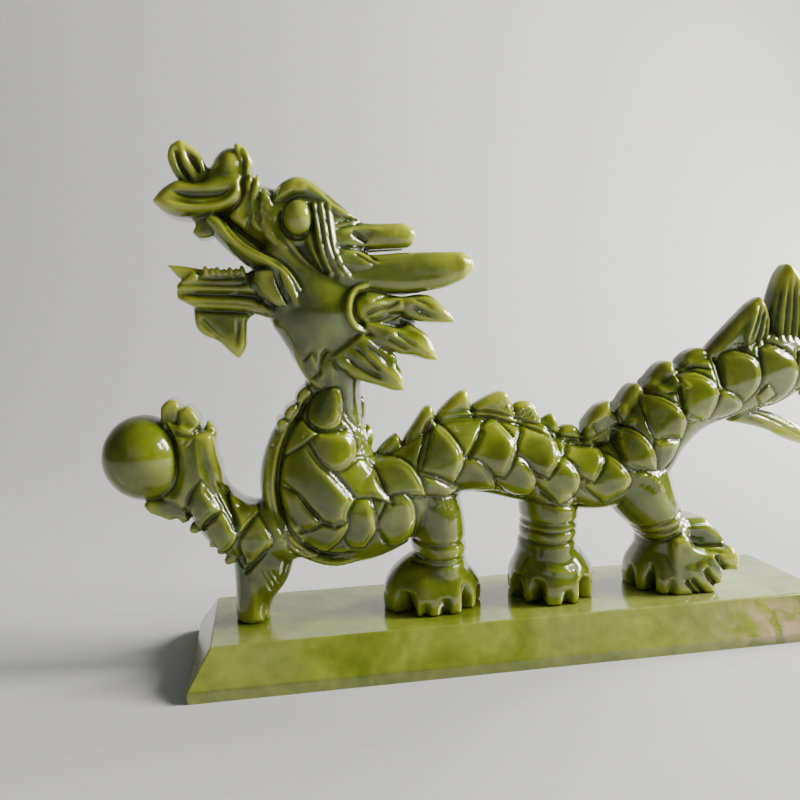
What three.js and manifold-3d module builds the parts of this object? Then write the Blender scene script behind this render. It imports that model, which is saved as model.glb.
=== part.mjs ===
// A jade dragon carving on its plinth, in millimetres.
// +X runs from the raised forepaw towards the tail, +Y is the far side, +Z is up.
// The origin is the middle of the plinth's underside.
import * as THREE from 'three';
import { mergeVertices } from 'three/addons/utils/BufferGeometryUtils.js';
import Module from 'manifold-3d';

const wasm = await Module();
wasm.setup();

// ---------------------------------------------------------------- driving dimensions

// Plinth: a slab with a low upright band and four sloped sides.
const PLINTH_LENGTH = 200;
const PLINTH_WIDTH = 54;
const PLINTH_HEIGHT = 12.7;
const PLINTH_BAND = 3.1;
const PLINTH_INSET = 6.3;

// Glue line between the dragon and the plinth.
const GLUE_GAP = 0.3;
const FOOT_LEVEL = PLINTH_HEIGHT + GLUE_GAP;

// Thickness of the jade block that the dragon was cut from, halved.
const HALF_BLOCK = 14.5;

// The pearl under the raised forepaw.
const PEARL_X = -110.8;
const PEARL_LEVEL = 62.6;
const PEARL_RADIUS = 11.9;
const PEARL_HALF_HEIGHT = 12.3;

// Relief of the body: how far a scale stands proud, and how thick and how deeply rooted a fin is.
const SCALE_RISE = 1.1;
const FIN_HALF_THICKNESS = 2.6;
const FIN_SINK = 6;

// Depth of the notches between the toes, as a share of the paw's radius.
const TOE_NOTCH = 0.2;

// Mesh density of the swept forms.
const BODY_SIDES = 12;
const BODY_RINGS = 26;
const LIMB_SIDES = 8;
const LIMB_RINGS = 6;
const FOOT_RINGS = 6;

// ---------------------------------------------------------------- solids

// A closed geometry as a manifold solid, turned inside out first if its faces point in.
function solid(geometry) {
  const bare = geometry.clone();
  for (const name of ['normal', 'uv']) bare.deleteAttribute(name);
  const merged = mergeVertices(bare, 1e-4);
  const vertProperties = Float32Array.from(merged.attributes.position.array);
  const triVerts = Uint32Array.from(merged.index.array);
  if (signedVolume(vertProperties, triVerts) < 0) {
    for (let i = 0; i < triVerts.length; i += 3) {
      [triVerts[i], triVerts[i + 1]] = [triVerts[i + 1], triVerts[i]];
    }
  }
  return new wasm.Manifold(new wasm.Mesh({ numProp: 3, vertProperties, triVerts }));
}

function signedVolume(points, triangles) {
  const corner = (k) => new THREE.Vector3().fromArray(points, 3 * triangles[k]);
  let volume = 0;
  for (let i = 0; i < triangles.length; i += 3) {
    volume += corner(i).dot(corner(i + 1).cross(corner(i + 2))) / 6;
  }
  return volume;
}

function joined(solids) {
  return solids.reduce((whole, piece) => whole.add(piece));
}

function geometryOf(manifold) {
  const mesh = manifold.getMesh();
  const geometry = new THREE.BufferGeometry();
  geometry.setAttribute('position', new THREE.BufferAttribute(mesh.vertProperties, 3));
  geometry.setIndex(new THREE.BufferAttribute(mesh.triVerts, 1));
  geometry.computeVertexNormals();
  return geometry;
}

// Moves each vertex of a unit sphere: place(u, t) gives the point for the turn u (0 to 1)
// round the form and the way t (0 to 1) along it.
function remappedSphere(sides, rings, place) {
  const geometry = new THREE.SphereGeometry(1, sides, rings);
  const { position, uv } = geometry.attributes;
  for (let i = 0; i < position.count; i += 1) {
    const t = 1 - uv.getY(i);
    const atPole = t < 1e-6 || t > 1 - 1e-6;
    const point = place(atPole ? 0 : uv.getX(i), t);
    position.setXYZ(i, point.x, point.y, point.z);
  }
  return geometry;
}

// How wide a form is at t, as a share of its full width, with both ends rounded off.
function endRounding(t, round) {
  const near = Math.min(1, t / round);
  const far = Math.min(1, (1 - t) / round);
  return Math.sqrt(Math.max(0, 1 - (1 - near) ** 2)) * Math.sqrt(Math.max(0, 1 - (1 - far) ** 2));
}

// A limb along a smooth line. Each station is [x, z, half height, half width, y].
function limb(stations, { sides = LIMB_SIDES, rings = LIMB_RINGS, round = 0.15 } = {}) {
  const spine = new THREE.CatmullRomCurve3(stations.map(([x, z, , , y = 0]) => new THREE.Vector3(x, y, z)));
  const sizes = new THREE.CatmullRomCurve3(stations.map(([, , a, b]) => new THREE.Vector3(a, b, 0)));
  const place = (u, t) => {
    const centre = spine.getPoint(t);
    const along = spine.getTangent(t);
    const up = new THREE.Vector3(-along.z, 0, along.x).normalize();
    const across = new THREE.Vector3().crossVectors(along, up).normalize();
    const size = sizes.getPoint(t);
    const share = endRounding(t, round);
    const turn = 2 * Math.PI * u;
    return centre
      .addScaledVector(up, size.x * share * Math.cos(turn))
      .addScaledVector(across, size.y * share * Math.sin(turn));
  };
  return solid(remappedSphere(sides, rings, place));
}

// A rounded lump at (x, y, z) with its own three half sizes, leaning in the side view.
function lump(x, y, z, rx, ry, rz, lean = 0, sides = 7, rings = 4) {
  const geometry = new THREE.SphereGeometry(1, sides, rings);
  geometry.scale(rx, ry, rz);
  geometry.rotateY(THREE.MathUtils.degToRad(lean));
  geometry.translate(x, y, z);
  return solid(geometry);
}

// A plate with rounded edges, cut to a side-view outline and centred at y.
function plate(shape, halfThickness, y = 0, bevel = 1.2) {
  const geometry = new THREE.ExtrudeGeometry(shape, {
    depth: 2 * (halfThickness - bevel),
    curveSegments: 3,
    bevelEnabled: bevel > 0,
    bevelThickness: bevel,
    bevelSize: bevel,
    bevelOffset: -bevel,
    bevelSegments: 1,
  });
  geometry.rotateX(Math.PI / 2);
  geometry.translate(0, y + halfThickness - bevel, 0);
  return solid(geometry);
}

// A closed outline through a few corners; each side bows out by its own share of its length.
function outline(corners) {
  const shape = new THREE.Shape();
  const [first] = corners;
  shape.moveTo(first[0], first[1]);
  corners.forEach(([x, z, bow = 0], i) => {
    const [nextX, nextZ] = corners[(i + 1) % corners.length];
    if (bow === 0) {
      shape.lineTo(nextX, nextZ);
    } else {
      const midX = (x + nextX) / 2 - bow * (nextZ - z);
      const midZ = (z + nextZ) / 2 + bow * (nextX - x);
      shape.quadraticCurveTo(midX, midZ, nextX, nextZ);
    }
  });
  return shape;
}

// A pointed leaf from its root to its tip.
function leafOutline([rootX, rootZ], [tipX, tipZ], width, sweep = 0) {
  const along = new THREE.Vector2(tipX - rootX, tipZ - rootZ);
  const across = new THREE.Vector2(-along.y, along.x).normalize();
  const at = (share, side) => {
    const offset = side * width / 2 + sweep * share * (1 - share);
    return [rootX + along.x * share + across.x * offset, rootZ + along.y * share + across.y * offset];
  };
  const shape = new THREE.Shape();
  shape.moveTo(...at(0, 0.7));
  shape.quadraticCurveTo(...at(0.55, 1.5), tipX, tipZ);
  shape.quadraticCurveTo(...at(0.55, -1.5), ...at(0, -0.7));
  shape.closePath();
  return shape;
}

function leaf(root, tip, width, halfThickness, y = 0, sweep = 0) {
  return plate(leafOutline(root, tip, width, sweep), halfThickness, y, Math.min(1.4, halfThickness * 0.5));
}

// The same form on the near side and on the far side.
function bothSides(make) {
  return [make(-1), make(1)];
}

// ---------------------------------------------------------------- body, neck and tail

// Stations of the body from the top of the neck, down the breast and back to the tail.
const BODY = [
  [-55, 92, 9, 9],
  [-55.5, 81, 8.2, 9],
  [-58.5, 71, 11.5, 11],
  [-60.5, 60, 15.5, 13],
  [-59, 49, 18, 14],
  [-52, 43.5, 16.5, HALF_BLOCK],
  [-41, 45.5, 14.5, 14],
  [-31, 52, 12, 13],
  [-21, 58, 11.5, 12.5],
  [-9, 57.8, 11.8, 12.5],
  [4, 54, 11.5, 12.5],
  [17, 50.3, 10.4, 12],
  [29, 49.5, 10.5, 12],
  [39, 55, 12.5, 12],
  [45.5, 64, 12.5, 11.5],
  [54, 71, 11.5, 11.5],
  [64, 75.5, 11.5, 11],
  [76, 79, 12.5, 10.5],
  [88, 82.5, 12.5, 9],
  [99, 86, 10, 6.5],
];

function body() {
  return limb(BODY, { sides: BODY_SIDES, rings: BODY_RINGS, round: 0.04 });
}

// Large overlapping scales: a lump for each, its free edge raised towards the tail.
// Each row of scales is [first station, last station, height up the side, count, size].
const SCALE_ROWS = [
  [3.0, 6.2, 0.45, 4, 7.2],
  [3.6, 6.6, -0.35, 4, 7.2],
  [7.5, 12.3, 0.55, 6, 6.6],
  [8.0, 12.6, -0.3, 5, 6.4],
  [13.2, 17.6, 0.45, 5, 6.2],
  [13.5, 17.4, -0.35, 4, 6.0],
];

function bodyScales() {
  const spine = new THREE.CatmullRomCurve3(BODY.map(([x, z]) => new THREE.Vector3(x, 0, z)));
  const sizes = new THREE.CatmullRomCurve3(BODY.map(([, , a, b]) => new THREE.Vector3(a, b, 0)));
  const last = BODY.length - 1;
  const scales = [];
  for (const [from, to, height, count, size] of SCALE_ROWS) {
    for (let i = 0; i < count; i += 1) {
      const t = (from + (to - from) * i / (count - 1)) / last;
      const centre = spine.getPoint(t);
      const along = spine.getTangent(t);
      const half = sizes.getPoint(t);
      const lean = THREE.MathUtils.radToDeg(Math.atan2(along.x, along.z)) + 90;
      const x = centre.x - along.z * half.x * height;
      const z = centre.z + along.x * half.x * height;
      const y = half.y * Math.sqrt(1 - height * height) - size * 0.35 + SCALE_RISE;
      for (const side of [-1, 1]) {
        scales.push(lump(x, side * y, z, size, size * 0.42, size * 0.85, lean, 6, 3));
      }
    }
  }
  return scales;
}

// Fins along the spine: root start, root end and tip, each in the side view.
const FINS = [
  [[-45.4, 60], [-34.5, 60], [-37.3, 65.8]],
  [[-35.5, 62], [-25.5, 62], [-26.4, 74.2]],
  [[-25.5, 68], [-13.5, 70], [-15, 78.4]],
  [[-14, 70], [-2, 69], [-2.8, 77.4]],
  [[-2.5, 69], [8, 65], [5.8, 73.4]],
  [[8, 64], [15.5, 61], [13.5, 67.6]],
  [[15, 60], [23, 58], [20, 65.2]],
];

// A fin has a straight back edge, a bowed front edge and a root sunk in the body.
function finOutline([startX, startZ], [endX, endZ], [tipX, tipZ]) {
  const shape = new THREE.Shape();
  shape.moveTo(startX, startZ - FIN_SINK);
  shape.lineTo(endX, endZ - FIN_SINK);
  shape.lineTo(endX, endZ);
  shape.quadraticCurveTo((endX + tipX) / 2 - 0.8, (endZ + tipZ) / 2, tipX, tipZ);
  shape.quadraticCurveTo((startX + tipX) / 2 - 0.8, (startZ + tipZ) / 2 + 0.8, startX, startZ);
  shape.closePath();
  return shape;
}

function fins() {
  return FINS.map(([start, end, tip]) => plate(finOutline(start, end, tip), FIN_HALF_THICKNESS, 0, 0));
}

// Blunt knobs where the spine climbs the tail, and two on the nape, each as [x, z, lean].
const TAIL_KNOBS = [[28, 66.5, 10], [36.8, 72.5, 22], [47, 79, 30], [57.5, 84, 40]];
const NAPE_KNOBS = [[-47, 71.8, 15], [-45.3, 63.5, 15]];

function knobs() {
  return [
    ...TAIL_KNOBS.map(([x, z, lean]) => lump(x, 0, z, 4.4, 4.6, 6.6, lean)),
    ...NAPE_KNOBS.map(([x, z, lean]) => lump(x, 0, z, 2.2, 3, 4.4, lean)),
  ];
}

// ---------------------------------------------------------------- legs and feet

// The upper legs, as limb stations.
const THIGHS = [
  [[-28, 52, 8, 12], [-25.5, 40, 8.2, 12.5], [-24.7, 30, 7.6, 11.5], [-25, 20, 8, 11.5]],
  [[10, 50, 9, 11.5], [10.8, 38, 8.6, 12], [10, 30, 8.1, 11.5], [9.5, 20, 9, 11.5]],
  [[38, 54, 12, 11.5], [42, 43, 10.5, 12.5], [48, 34, 8, 11.5], [49.5, 22, 8.5, 11.5]],
];

// Standing paws, each as [x, radius, height].
const PAWS = [[-27.6, 16.2, 16], [11.2, 14.4, 19], [50.2, 14, 17]];
const TOES = 8;

// A paw is a bell with notches between its toes.
function paw([x, radius, height]) {
  const sides = TOES * 2;
  const profile = new THREE.CatmullRomCurve3([
    new THREE.Vector3(0.97 * radius, FOOT_LEVEL, 0),
    new THREE.Vector3(radius, FOOT_LEVEL + 0.35 * height, 0),
    new THREE.Vector3(0.93 * radius, FOOT_LEVEL + 0.58 * height, 0),
    new THREE.Vector3(0.66 * radius, FOOT_LEVEL + 0.82 * height, 0),
    new THREE.Vector3(0.5 * radius, FOOT_LEVEL + height, 0),
  ]);
  const place = (u, t) => {
    const low = t <= 0;
    const high = t >= 1;
    const at = profile.getPoint(THREE.MathUtils.clamp((t * FOOT_RINGS - 1) / (FOOT_RINGS - 2), 0, 1));
    const turn = 2 * Math.PI * u;
    const towardsSole = 1 - THREE.MathUtils.smoothstep(at.y, FOOT_LEVEL, FOOT_LEVEL + 0.5 * height);
    const notch = Math.round(u * sides) % 2 === 0 ? TOE_NOTCH * towardsSole : 0;
    const r = low || high ? 0 : at.x * (1 - notch);
    return new THREE.Vector3(x + r * Math.cos(turn), r * Math.sin(turn) * HALF_BLOCK / radius, at.y);
  };
  return solid(remappedSphere(sides, FOOT_RINGS, place));
}

// The hind paw fans out towards the tail: the tip of each toe as [x, y], near side first.
const HIND_TOES = [[62.5, -10.5], [70.5, -5.5], [76, 1.5], [79.5, 9]];

function hindToes() {
  return HIND_TOES.map(([x, y]) => limb([
    [50, 24, 5.5, 5, y * 0.2], [0.5 * x + 26, 22, 5.4, 4.6, y * 0.7], [x, 17, 4, 4, y],
  ], { round: 0.25, rings: 5 }));
}

function legs() {
  return [
    ...THIGHS.map((stations) => limb(stations, { round: 0.08 })),
    ...PAWS.map(paw),
    ...hindToes(),
  ];
}

// The raised foreleg from the wrist to the shoulder, its thumb, and the strut that carries it.
const ARM = [
  [-102, 74, 3, 5], [-97.5, 66, 5.6, 8], [-95.2, 56, 6.2, 9], [-91, 46, 7.4, 10], [-83, 39, 9, 11],
  [-70, 38, 10, 12],
];
const THUMB = [[-111.6, 46.8, 1.6, 5], [-105, 45.8, 3, 6.5], [-96, 46.5, 4.5, 8]];
const STRUT = [[-78, 37, 9.5, 10], [-78.5, 28, 8.6, 9], [-81.5, 19, 4.8, 6.5], [-82.6, FOOT_LEVEL, 4, 5.5]];

function foreleg() {
  const knuckles = [
    lump(-103.2, 0, 75.6, 3.6, 6, 3.6, 20),
    lump(-97.4, 0, 72.5, 3.8, 7, 4.2, 35),
    lump(-92.2, 0, 70.4, 2.2, 5.5, 2.2),
  ];
  const pearl = lump(PEARL_X, 0, PEARL_LEVEL, PEARL_RADIUS, PEARL_RADIUS, PEARL_HALF_HEIGHT, 0, 14, 9);
  return [
    limb(ARM, { round: 0.1, rings: 9 }),
    limb(THUMB, { round: 0.3 }),
    limb(STRUT, { round: 0.06 }),
    ...knuckles,
    pearl,
  ];
}

// ---------------------------------------------------------------- head

// Side-view outlines, as outline corners: the cheek down to the throat, the dished nose and the beard.
const CHEEK = [
  [-48, 82], [-45.5, 96], [-44, 112], [-46, 128], [-57, 138.6, 0.02], [-66, 141.3, 0.15], [-73.5, 134, 0.1],
  [-78, 118, -0.05], [-76.5, 108], [-73, 99, 0.1], [-68, 90, 0.05], [-62, 79],
];
const DISH = [
  [-104.5, 135.8, -0.1], [-86.3, 133, -0.15], [-77, 143, -0.1], [-79, 148, 0.1], [-88, 142, 0.05],
  [-97.5, 141, -0.15],
];
const BEARD = [[-96, 108], [-94.2, 98], [-89.5, 95.4], [-84.2, 91], [-81.5, 93], [-79.8, 101], [-78, 108]];

// Limb stations of the head.
const MUZZLE = [[-62, 126, 12, 11], [-72, 130, 9, 10], [-80, 135, 7.5, 9], [-86, 138, 5.5, 8]];
const LIP = [
  [-91, 131, 3.2, 8], [-85, 125.5, 3.8, 9.5], [-77, 120, 4, 11], [-69, 114.5, 4.2, 12], [-64.5, 109, 3, 12],
];
const JAW = [[-99.6, 111.5, 3.6, 7], [-90, 110.4, 5.6, 8.5], [-80, 109, 6.6, 9.5], [-66, 104, 8, 11]];

// Limb stations of one side of the head: the brow over the eye, and the two horns.
const BROW = [
  [-71.5, 131, 1.6, 3, 9.5], [-69, 137.6, 2, 3.2, 9.5], [-63, 139.6, 2.2, 3.4, 9.5], [-56.5, 133.5, 2, 3, 9.8],
  [-53.5, 124, 2, 2.6, 10.2], [-51.5, 113, 1.6, 2.2, 10.2],
];
const UPPER_HORN = [
  [-58, 123, 4, 4.2, 5.5], [-46, 125, 3.4, 3.6, 5.6], [-37, 125.3, 3.4, 3.4, 5.4], [-30, 125.1, 3.2, 3.2, 5.4],
];
const LOWER_HORN = [
  [-60, 117, 5, 5, 6.2], [-46, 115.2, 5.6, 5, 6.6], [-34, 114.6, 5.8, 4.8, 6.4], [-22, 115, 5.4, 4.2, 6],
  [-11.4, 115.8, 3.6, 3, 5.6],
];

function skull() {
  return [
    plate(outline(CHEEK), 11.5, 0, 4),
    lump(-60, 0, 104, 13, HALF_BLOCK - 1.5, 16, -15, 8, 6),
  ];
}

function snout() {
  const nostril = lump(-81.3, 0, 144.3, 5.2, 9, 7.6, 12, 8, 5);
  const fang = lump(-91.8, 0, 128.6, 3.2, 5, 4);
  const crest = leaf([-93, 136.5], [-97.6, 153], 10.4, 5.5, -2, 2);
  const bridge = [[-75.5, 144.2], [-73.2, 139.4]].map(([x, z]) => leaf([x - 2, z - 9], [x, z], 5, 3));
  return [
    limb(MUZZLE),
    limb(LIP, { round: 0.2 }),
    plate(outline(DISH), 10, 0, 0.8),
    nostril,
    fang,
    crest,
    ...bridge,
  ];
}

function lowerJaw() {
  const tongue = leaf([-92, 113.5], [-102.4, 117.2], 5, 6.5);
  return [
    limb(JAW, { round: 0.06 }),
    plate(outline(BEARD), 6, 0, 1.5),
    tongue,
    ...bothSides((side) => lump(-72.6, side * 10.4, 109.8, 7.4, 3, 3, 48)),
    ...bothSides((side) => lump(-67.5, side * 11.4, 112, 5, 2.6, 2.2, 46)),
  ];
}

function onSide(stations, side) {
  return stations.map(([x, z, a, b, y]) => [x, z, a, b, side * y]);
}

function eyes() {
  return bothSides((side) => joined([
    lump(-64.8, side * 9.6, 128.7, 4.5, 3.8, 4.5, 0, 8, 5),
    limb(onSide(BROW, side), { rings: 8, sides: 6 }),
  ]));
}

// Two pairs of blunt horns, the pairs split by a saw cut down the middle.
function horns() {
  return bothSides((side) => joined([
    limb(onSide(UPPER_HORN, side), { round: 0.12 }),
    limb(onSide(LOWER_HORN, side), { round: 0.16 }),
  ]));
}

// Leaves of the mane, each as [root, tip, width, sweep], and the tufts under the cheek.
const MANE = [
  [[-48, 104.5], [-18.6, 100.2], 8.6, 4],
  [[-50, 100], [-24, 88.4], 8.6, 5],
  [[-54, 98], [-34.4, 79.6], 9.4, 3],
];
const TUFTS = [
  [[-61, 94], [-60.4, 80.2], 6],
  [[-54, 92], [-53, 80.5], 6],
];

function mane() {
  const leaves = bothSides((side) => MANE.map(([root, tip, width, sweep]) => (
    leaf(root, tip, width, 4.2, side * 6.4, sweep))));
  const tufts = bothSides((side) => TUFTS.map(([root, tip, width]) => (
    leaf(root, tip, width, 2.4, side * 9.4))));
  return [
    ...leaves.flat(),
    ...tufts.flat(),
    limb([[-52, 104, 10, 10], [-42, 101, 7, 9], [-33, 98, 4, 7]], { round: 0.2 }),
  ];
}

// ---------------------------------------------------------------- tail flames

// Each flame as [root, tip, width, half thickness, y].
const FLAMES = [
  [[68, 80], [81.2, 104], 11.5, 4.2, -2.5],
  [[83, 84], [91.3, 115], 12, 4.4, 0],
  [[93, 86], [102.5, 109], 10.5, 4.2, 2],
  [[97, 85], [114, 98], 9.5, 4, -1.5],
  [[96, 82], [119, 85], 9, 4, 1.5],
  [[93, 78], [113, 72], 9, 4, -1],
  [[78, 73], [98.5, 57.6], 7.6, 4.2, 0],
];

function flames() {
  return FLAMES.map(([root, tip, width, half, y]) => leaf(root, tip, width, half, y));
}

// ---------------------------------------------------------------- the two pieces

// Nothing of the dragon reaches below its soles.
function trimmedAtSoles(whole) {
  const depth = 2 * PLINTH_HEIGHT;
  const block = new THREE.BoxGeometry(2 * PLINTH_LENGTH, 2 * PLINTH_WIDTH, depth);
  block.translate(0, 0, FOOT_LEVEL - depth / 2);
  return whole.subtract(solid(block));
}

function dragonGeometry() {
  const whole = joined([
    body(), ...bodyScales(), ...fins(), ...knobs(), ...legs(), ...foreleg(),
    ...skull(), ...snout(), ...lowerJaw(), ...eyes(), ...horns(), ...mane(), ...flames(),
  ]);
  return geometryOf(trimmedAtSoles(whole));
}

function plinthGeometry() {
  const geometry = new THREE.BoxGeometry(PLINTH_LENGTH, PLINTH_WIDTH, PLINTH_HEIGHT, 1, 1, 2);
  const { position } = geometry.attributes;
  for (let i = 0; i < position.count; i += 1) {
    const level = Math.sign(Math.round(position.getZ(i)));
    position.setZ(i, [0, PLINTH_BAND, PLINTH_HEIGHT][level + 1]);
    if (level === 1) {
      position.setX(i, position.getX(i) - Math.sign(position.getX(i)) * PLINTH_INSET);
      position.setY(i, position.getY(i) - Math.sign(position.getY(i)) * PLINTH_INSET);
    }
  }
  return geometryOf(solid(geometry));
}

const jade = new THREE.MeshStandardMaterial({ color: 0x6b7a1e, roughness: 0.18, metalness: 0 });
const paleJade = new THREE.MeshStandardMaterial({ color: 0x94a13c, roughness: 0.22, metalness: 0 });

const dragon = new THREE.Mesh(dragonGeometry(), jade);
dragon.name = 'dragon';

const plinth = new THREE.Mesh(plinthGeometry(), paleJade);
plinth.name = 'plinth';

const carving = new THREE.Group();
carving.add(dragon, plinth);

export default carving;
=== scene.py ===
"""The finished look of a carved jade dragon on its plinth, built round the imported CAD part.

The dragon is carved from one block: a distance field in millimetres takes the big forms first,
then a relief of scales and incised lines, and its zero surface becomes the mesh.
The frame is the part's own: +X from the raised forepaw to the tail, +Y to the far side, +Z up.
"""
import math

import bmesh
import bpy
import numpy as np
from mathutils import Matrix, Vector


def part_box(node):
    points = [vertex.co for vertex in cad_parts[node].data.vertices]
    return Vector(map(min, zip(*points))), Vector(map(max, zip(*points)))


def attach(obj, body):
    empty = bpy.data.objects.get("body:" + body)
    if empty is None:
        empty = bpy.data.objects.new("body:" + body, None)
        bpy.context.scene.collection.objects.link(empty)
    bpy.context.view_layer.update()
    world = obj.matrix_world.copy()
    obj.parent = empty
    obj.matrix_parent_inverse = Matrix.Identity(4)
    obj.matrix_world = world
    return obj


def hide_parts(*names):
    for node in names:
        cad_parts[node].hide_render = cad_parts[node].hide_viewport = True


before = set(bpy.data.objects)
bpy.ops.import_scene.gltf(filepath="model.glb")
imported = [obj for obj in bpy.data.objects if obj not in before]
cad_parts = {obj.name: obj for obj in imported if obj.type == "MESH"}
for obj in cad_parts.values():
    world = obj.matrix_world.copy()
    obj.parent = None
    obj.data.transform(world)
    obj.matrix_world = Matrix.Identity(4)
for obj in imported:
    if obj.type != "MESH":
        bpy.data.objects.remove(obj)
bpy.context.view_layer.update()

import openvdb
from mathutils import Matrix, Vector

MM = 0.001


def corners_in_mm(node):
    return [np.array(corner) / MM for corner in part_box(node)]


DRAGON_LOW, DRAGON_HIGH = corners_in_mm("dragon")
PLINTH_LOW, PLINTH_HIGH = corners_in_mm("plinth")
SOLE = DRAGON_LOW[2]
HALF_BLOCK = DRAGON_HIGH[1] - 0.5

# The camera, and the depth at which the outlines below are drawn as it sees them.
CAMERA_PLACE = np.array([-75.74, -237.52, 99.13]) * MM
CAMERA_YAW, CAMERA_PITCH, CAMERA_ROLL = (math.radians(a) for a in (9.546, 5.451, 1.598))
SENSOR = 36.0
DRAWN_AT = -12.0

PITCH = 0.42
REACH = 3.4
FAR = 9.0
TRIANGLES = 190_000


# ---------------------------------------------------------------- curves in the side view

def spline(points, steps=6, closed=False):
    """A Catmull-Rom curve through the points; further columns, such as sizes, are carried along."""
    p = np.asarray(points, float)
    if closed:
        ends = np.vstack([p[-1], p, p[0], p[1]])
    else:
        ends = np.vstack([2 * p[0] - p[1], p, 2 * p[-1] - p[-2]])
    t = np.linspace(0, 1, steps, endpoint=False)[:, None]
    pieces = [
        0.5 * (2 * b + (c - a) * t + (2 * a - 5 * b + 4 * c - d) * t**2 + (3 * b - a - 3 * c + d) * t**3)
        for a, b, c, d in zip(ends, ends[1:], ends[2:], ends[3:])
    ]
    return np.vstack(pieces if closed else pieces + [p[-1:]])


def bowed(corners, steps=8):
    """A closed outline through (x, z, bow) corners: the side after a corner bows out by that share."""
    line = []
    t = np.linspace(0, 1, steps, endpoint=False)[:, None]
    for corner, following in zip(corners, corners[1:] + corners[:1]):
        a, b = np.array(corner[:2], float), np.array(following[:2], float)
        bow = corner[2] if len(corner) > 2 else 0.0
        middle = (a + b) / 2 + bow * np.array([a[1] - b[1], b[0] - a[0]])
        line.append((1 - t) ** 2 * a + 2 * t * (1 - t) * middle + t**2 * b)
    return np.vstack(line)


def shape(points, steps=5):
    """A closed smooth outline through (x, z) points; a third value of 1 makes that point a corner."""
    points = [tuple(p) + (0,) * (3 - len(p)) for p in points]
    corners = [i for i, p in enumerate(points) if p[2]]
    if not corners:
        return spline([p[:2] for p in points], steps, closed=True)
    loop = points[corners[0]:] + points[:corners[0] + 1]
    line, run = [], [loop[0][:2]]
    for point in loop[1:]:
        run.append(point[:2])
        if point[2]:
            line.append(spline(run, steps)[:-1] if len(run) > 2 else np.array(run[:1], float))
            run = [point[:2]]
    return np.vstack(line)


def slid(points, y):
    """Points drawn as seen on the near side of the block, moved along the lines of sight to depth y."""
    p = np.array(points, float)
    eye_x, eye_y, eye_z = CAMERA_PLACE / MM
    share = (y - eye_y) / (DRAWN_AT - eye_y)
    p[:, 0] = eye_x + (p[:, 0] - eye_x) * share
    p[:, 1] = eye_z + (p[:, 1] - eye_z) * share
    return p


def leaf_outline(root, tip, width, sweep=0.0, steps=14):
    """A pointed leaf from its root to its tip, widest near the middle."""
    root, tip = np.array(root, float), np.array(tip, float)
    along = tip - root
    across = np.array([-along[1], along[0]]) / np.hypot(*along)
    t = np.linspace(0, 1, steps)[:, None]
    half = width / 2 * (0.72 + 1.1 * t - 0.55 * t**2) * np.sqrt(1 - t**2.2)
    middle = root + along * t + across * sweep * t * (1 - t)
    return np.vstack([middle + across * half, (middle - across * half)[::-1]])


def distance_to_line(line, x, z):
    """Distance from each place to an open line, and how far along it the nearest point is (0 to 1)."""
    best = np.full(np.broadcast(x, z).shape, 1e6, np.float32)
    where = np.zeros_like(best)
    last = len(line) - 1
    for i, (a, b) in enumerate(zip(line[:, :2], line[1:, :2])):
        ex, ez = b - a
        t = np.clip(((x - a[0]) * ex + (z - a[1]) * ez) / (ex * ex + ez * ez + 1e-9), 0, 1)
        d = (x - a[0] - t * ex) ** 2 + (z - a[1] - t * ez) ** 2
        nearer = d < best
        best = np.where(nearer, d, best)
        where = np.where(nearer, (i + t) / last, where)
    return np.sqrt(best), where


def distance_to_outline(outline, x, z):
    """Distance from each place to a closed outline, negative inside it."""
    closed = np.vstack([outline, outline[:1]])
    best, _ = distance_to_line(closed, x, z)
    inside = np.zeros(best.shape, bool)
    for (ax, az), (bx, bz) in zip(closed[:, :2], closed[1:, :2]):
        spans = (az <= z) != (bz <= z)
        inside ^= spans & (x < (bx - ax) * (z - az) / (bz - az + 1e-12) + ax)
    return np.where(inside, -best, best)


# ---------------------------------------------------------------- the block

class Block:
    """A distance field on a regular grid, in millimetres, negative inside the jade."""

    def __init__(self, low, high, pitch):
        self.pitch = pitch
        self.low = np.asarray(low, float)
        self.count = np.ceil((np.asarray(high) - self.low) / pitch).astype(int) + 1
        self.field = np.full(self.count, FAR, np.float32)
        self.axes = [
            (self.low[i] + pitch * np.arange(self.count[i])).astype(np.float32) for i in range(3)
        ]
        self.raised = np.zeros(self.count[[0, 2]], np.float32)
        self.crested = np.zeros(self.count[[0, 2]], np.float32)
        self.incised = np.zeros(self.count[[0, 2]], np.float32)
        self.ringed = np.zeros(self.count[[0, 2]], np.float32)

    def window(self, low, high):
        """The slices of the grid between two corners, and the coordinates in them."""
        first = np.clip(np.floor((np.asarray(low) - self.low) / self.pitch).astype(int), 0, self.count - 1)
        last = np.clip(np.ceil((np.asarray(high) - self.low) / self.pitch).astype(int), first, self.count - 1)
        cut = tuple(slice(a, b + 1) for a, b in zip(first, last))
        x, y, z = (axis[part] for axis, part in zip(self.axes, cut))
        return cut, x[:, None, None], y[None, :, None], z[None, None, :]

    def side_window(self, line, margin):
        low, high = line[:, :2].min(0) - margin, line[:, :2].max(0) + margin
        cut, x, _, z = self.window((low[0], 0, low[1]), (high[0], 0, high[1]))
        return (cut[0], cut[2]), x[:, 0, :], z[0, :, :]

    def join(self, cut, distance, blend):
        """Joins a form to the jade; blend is the width of the fillet between them."""
        self.field[cut] = smooth_min(self.field[cut], distance, blend)

    def carve(self, cut, distance, blend):
        """Takes a form out of the jade."""
        self.field[cut] = -smooth_min(-self.field[cut], distance, blend)


def evened(k0, k1, smallest):
    """A distance from a squashed round form: k0 is 1 on its surface, k1 its steepness there."""
    return np.where(k0 > 1, k0 * (k0 - 1) / np.maximum(k1, 1e-6), (k0 - 1) * smallest)


def smooth_min(a, b, blend):
    if blend <= 0:
        return np.minimum(a, b)
    h = np.clip(0.5 + 0.5 * (a - b) / blend, 0, 1)
    return a + (b - a) * h - blend * h * (1 - h)


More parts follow.
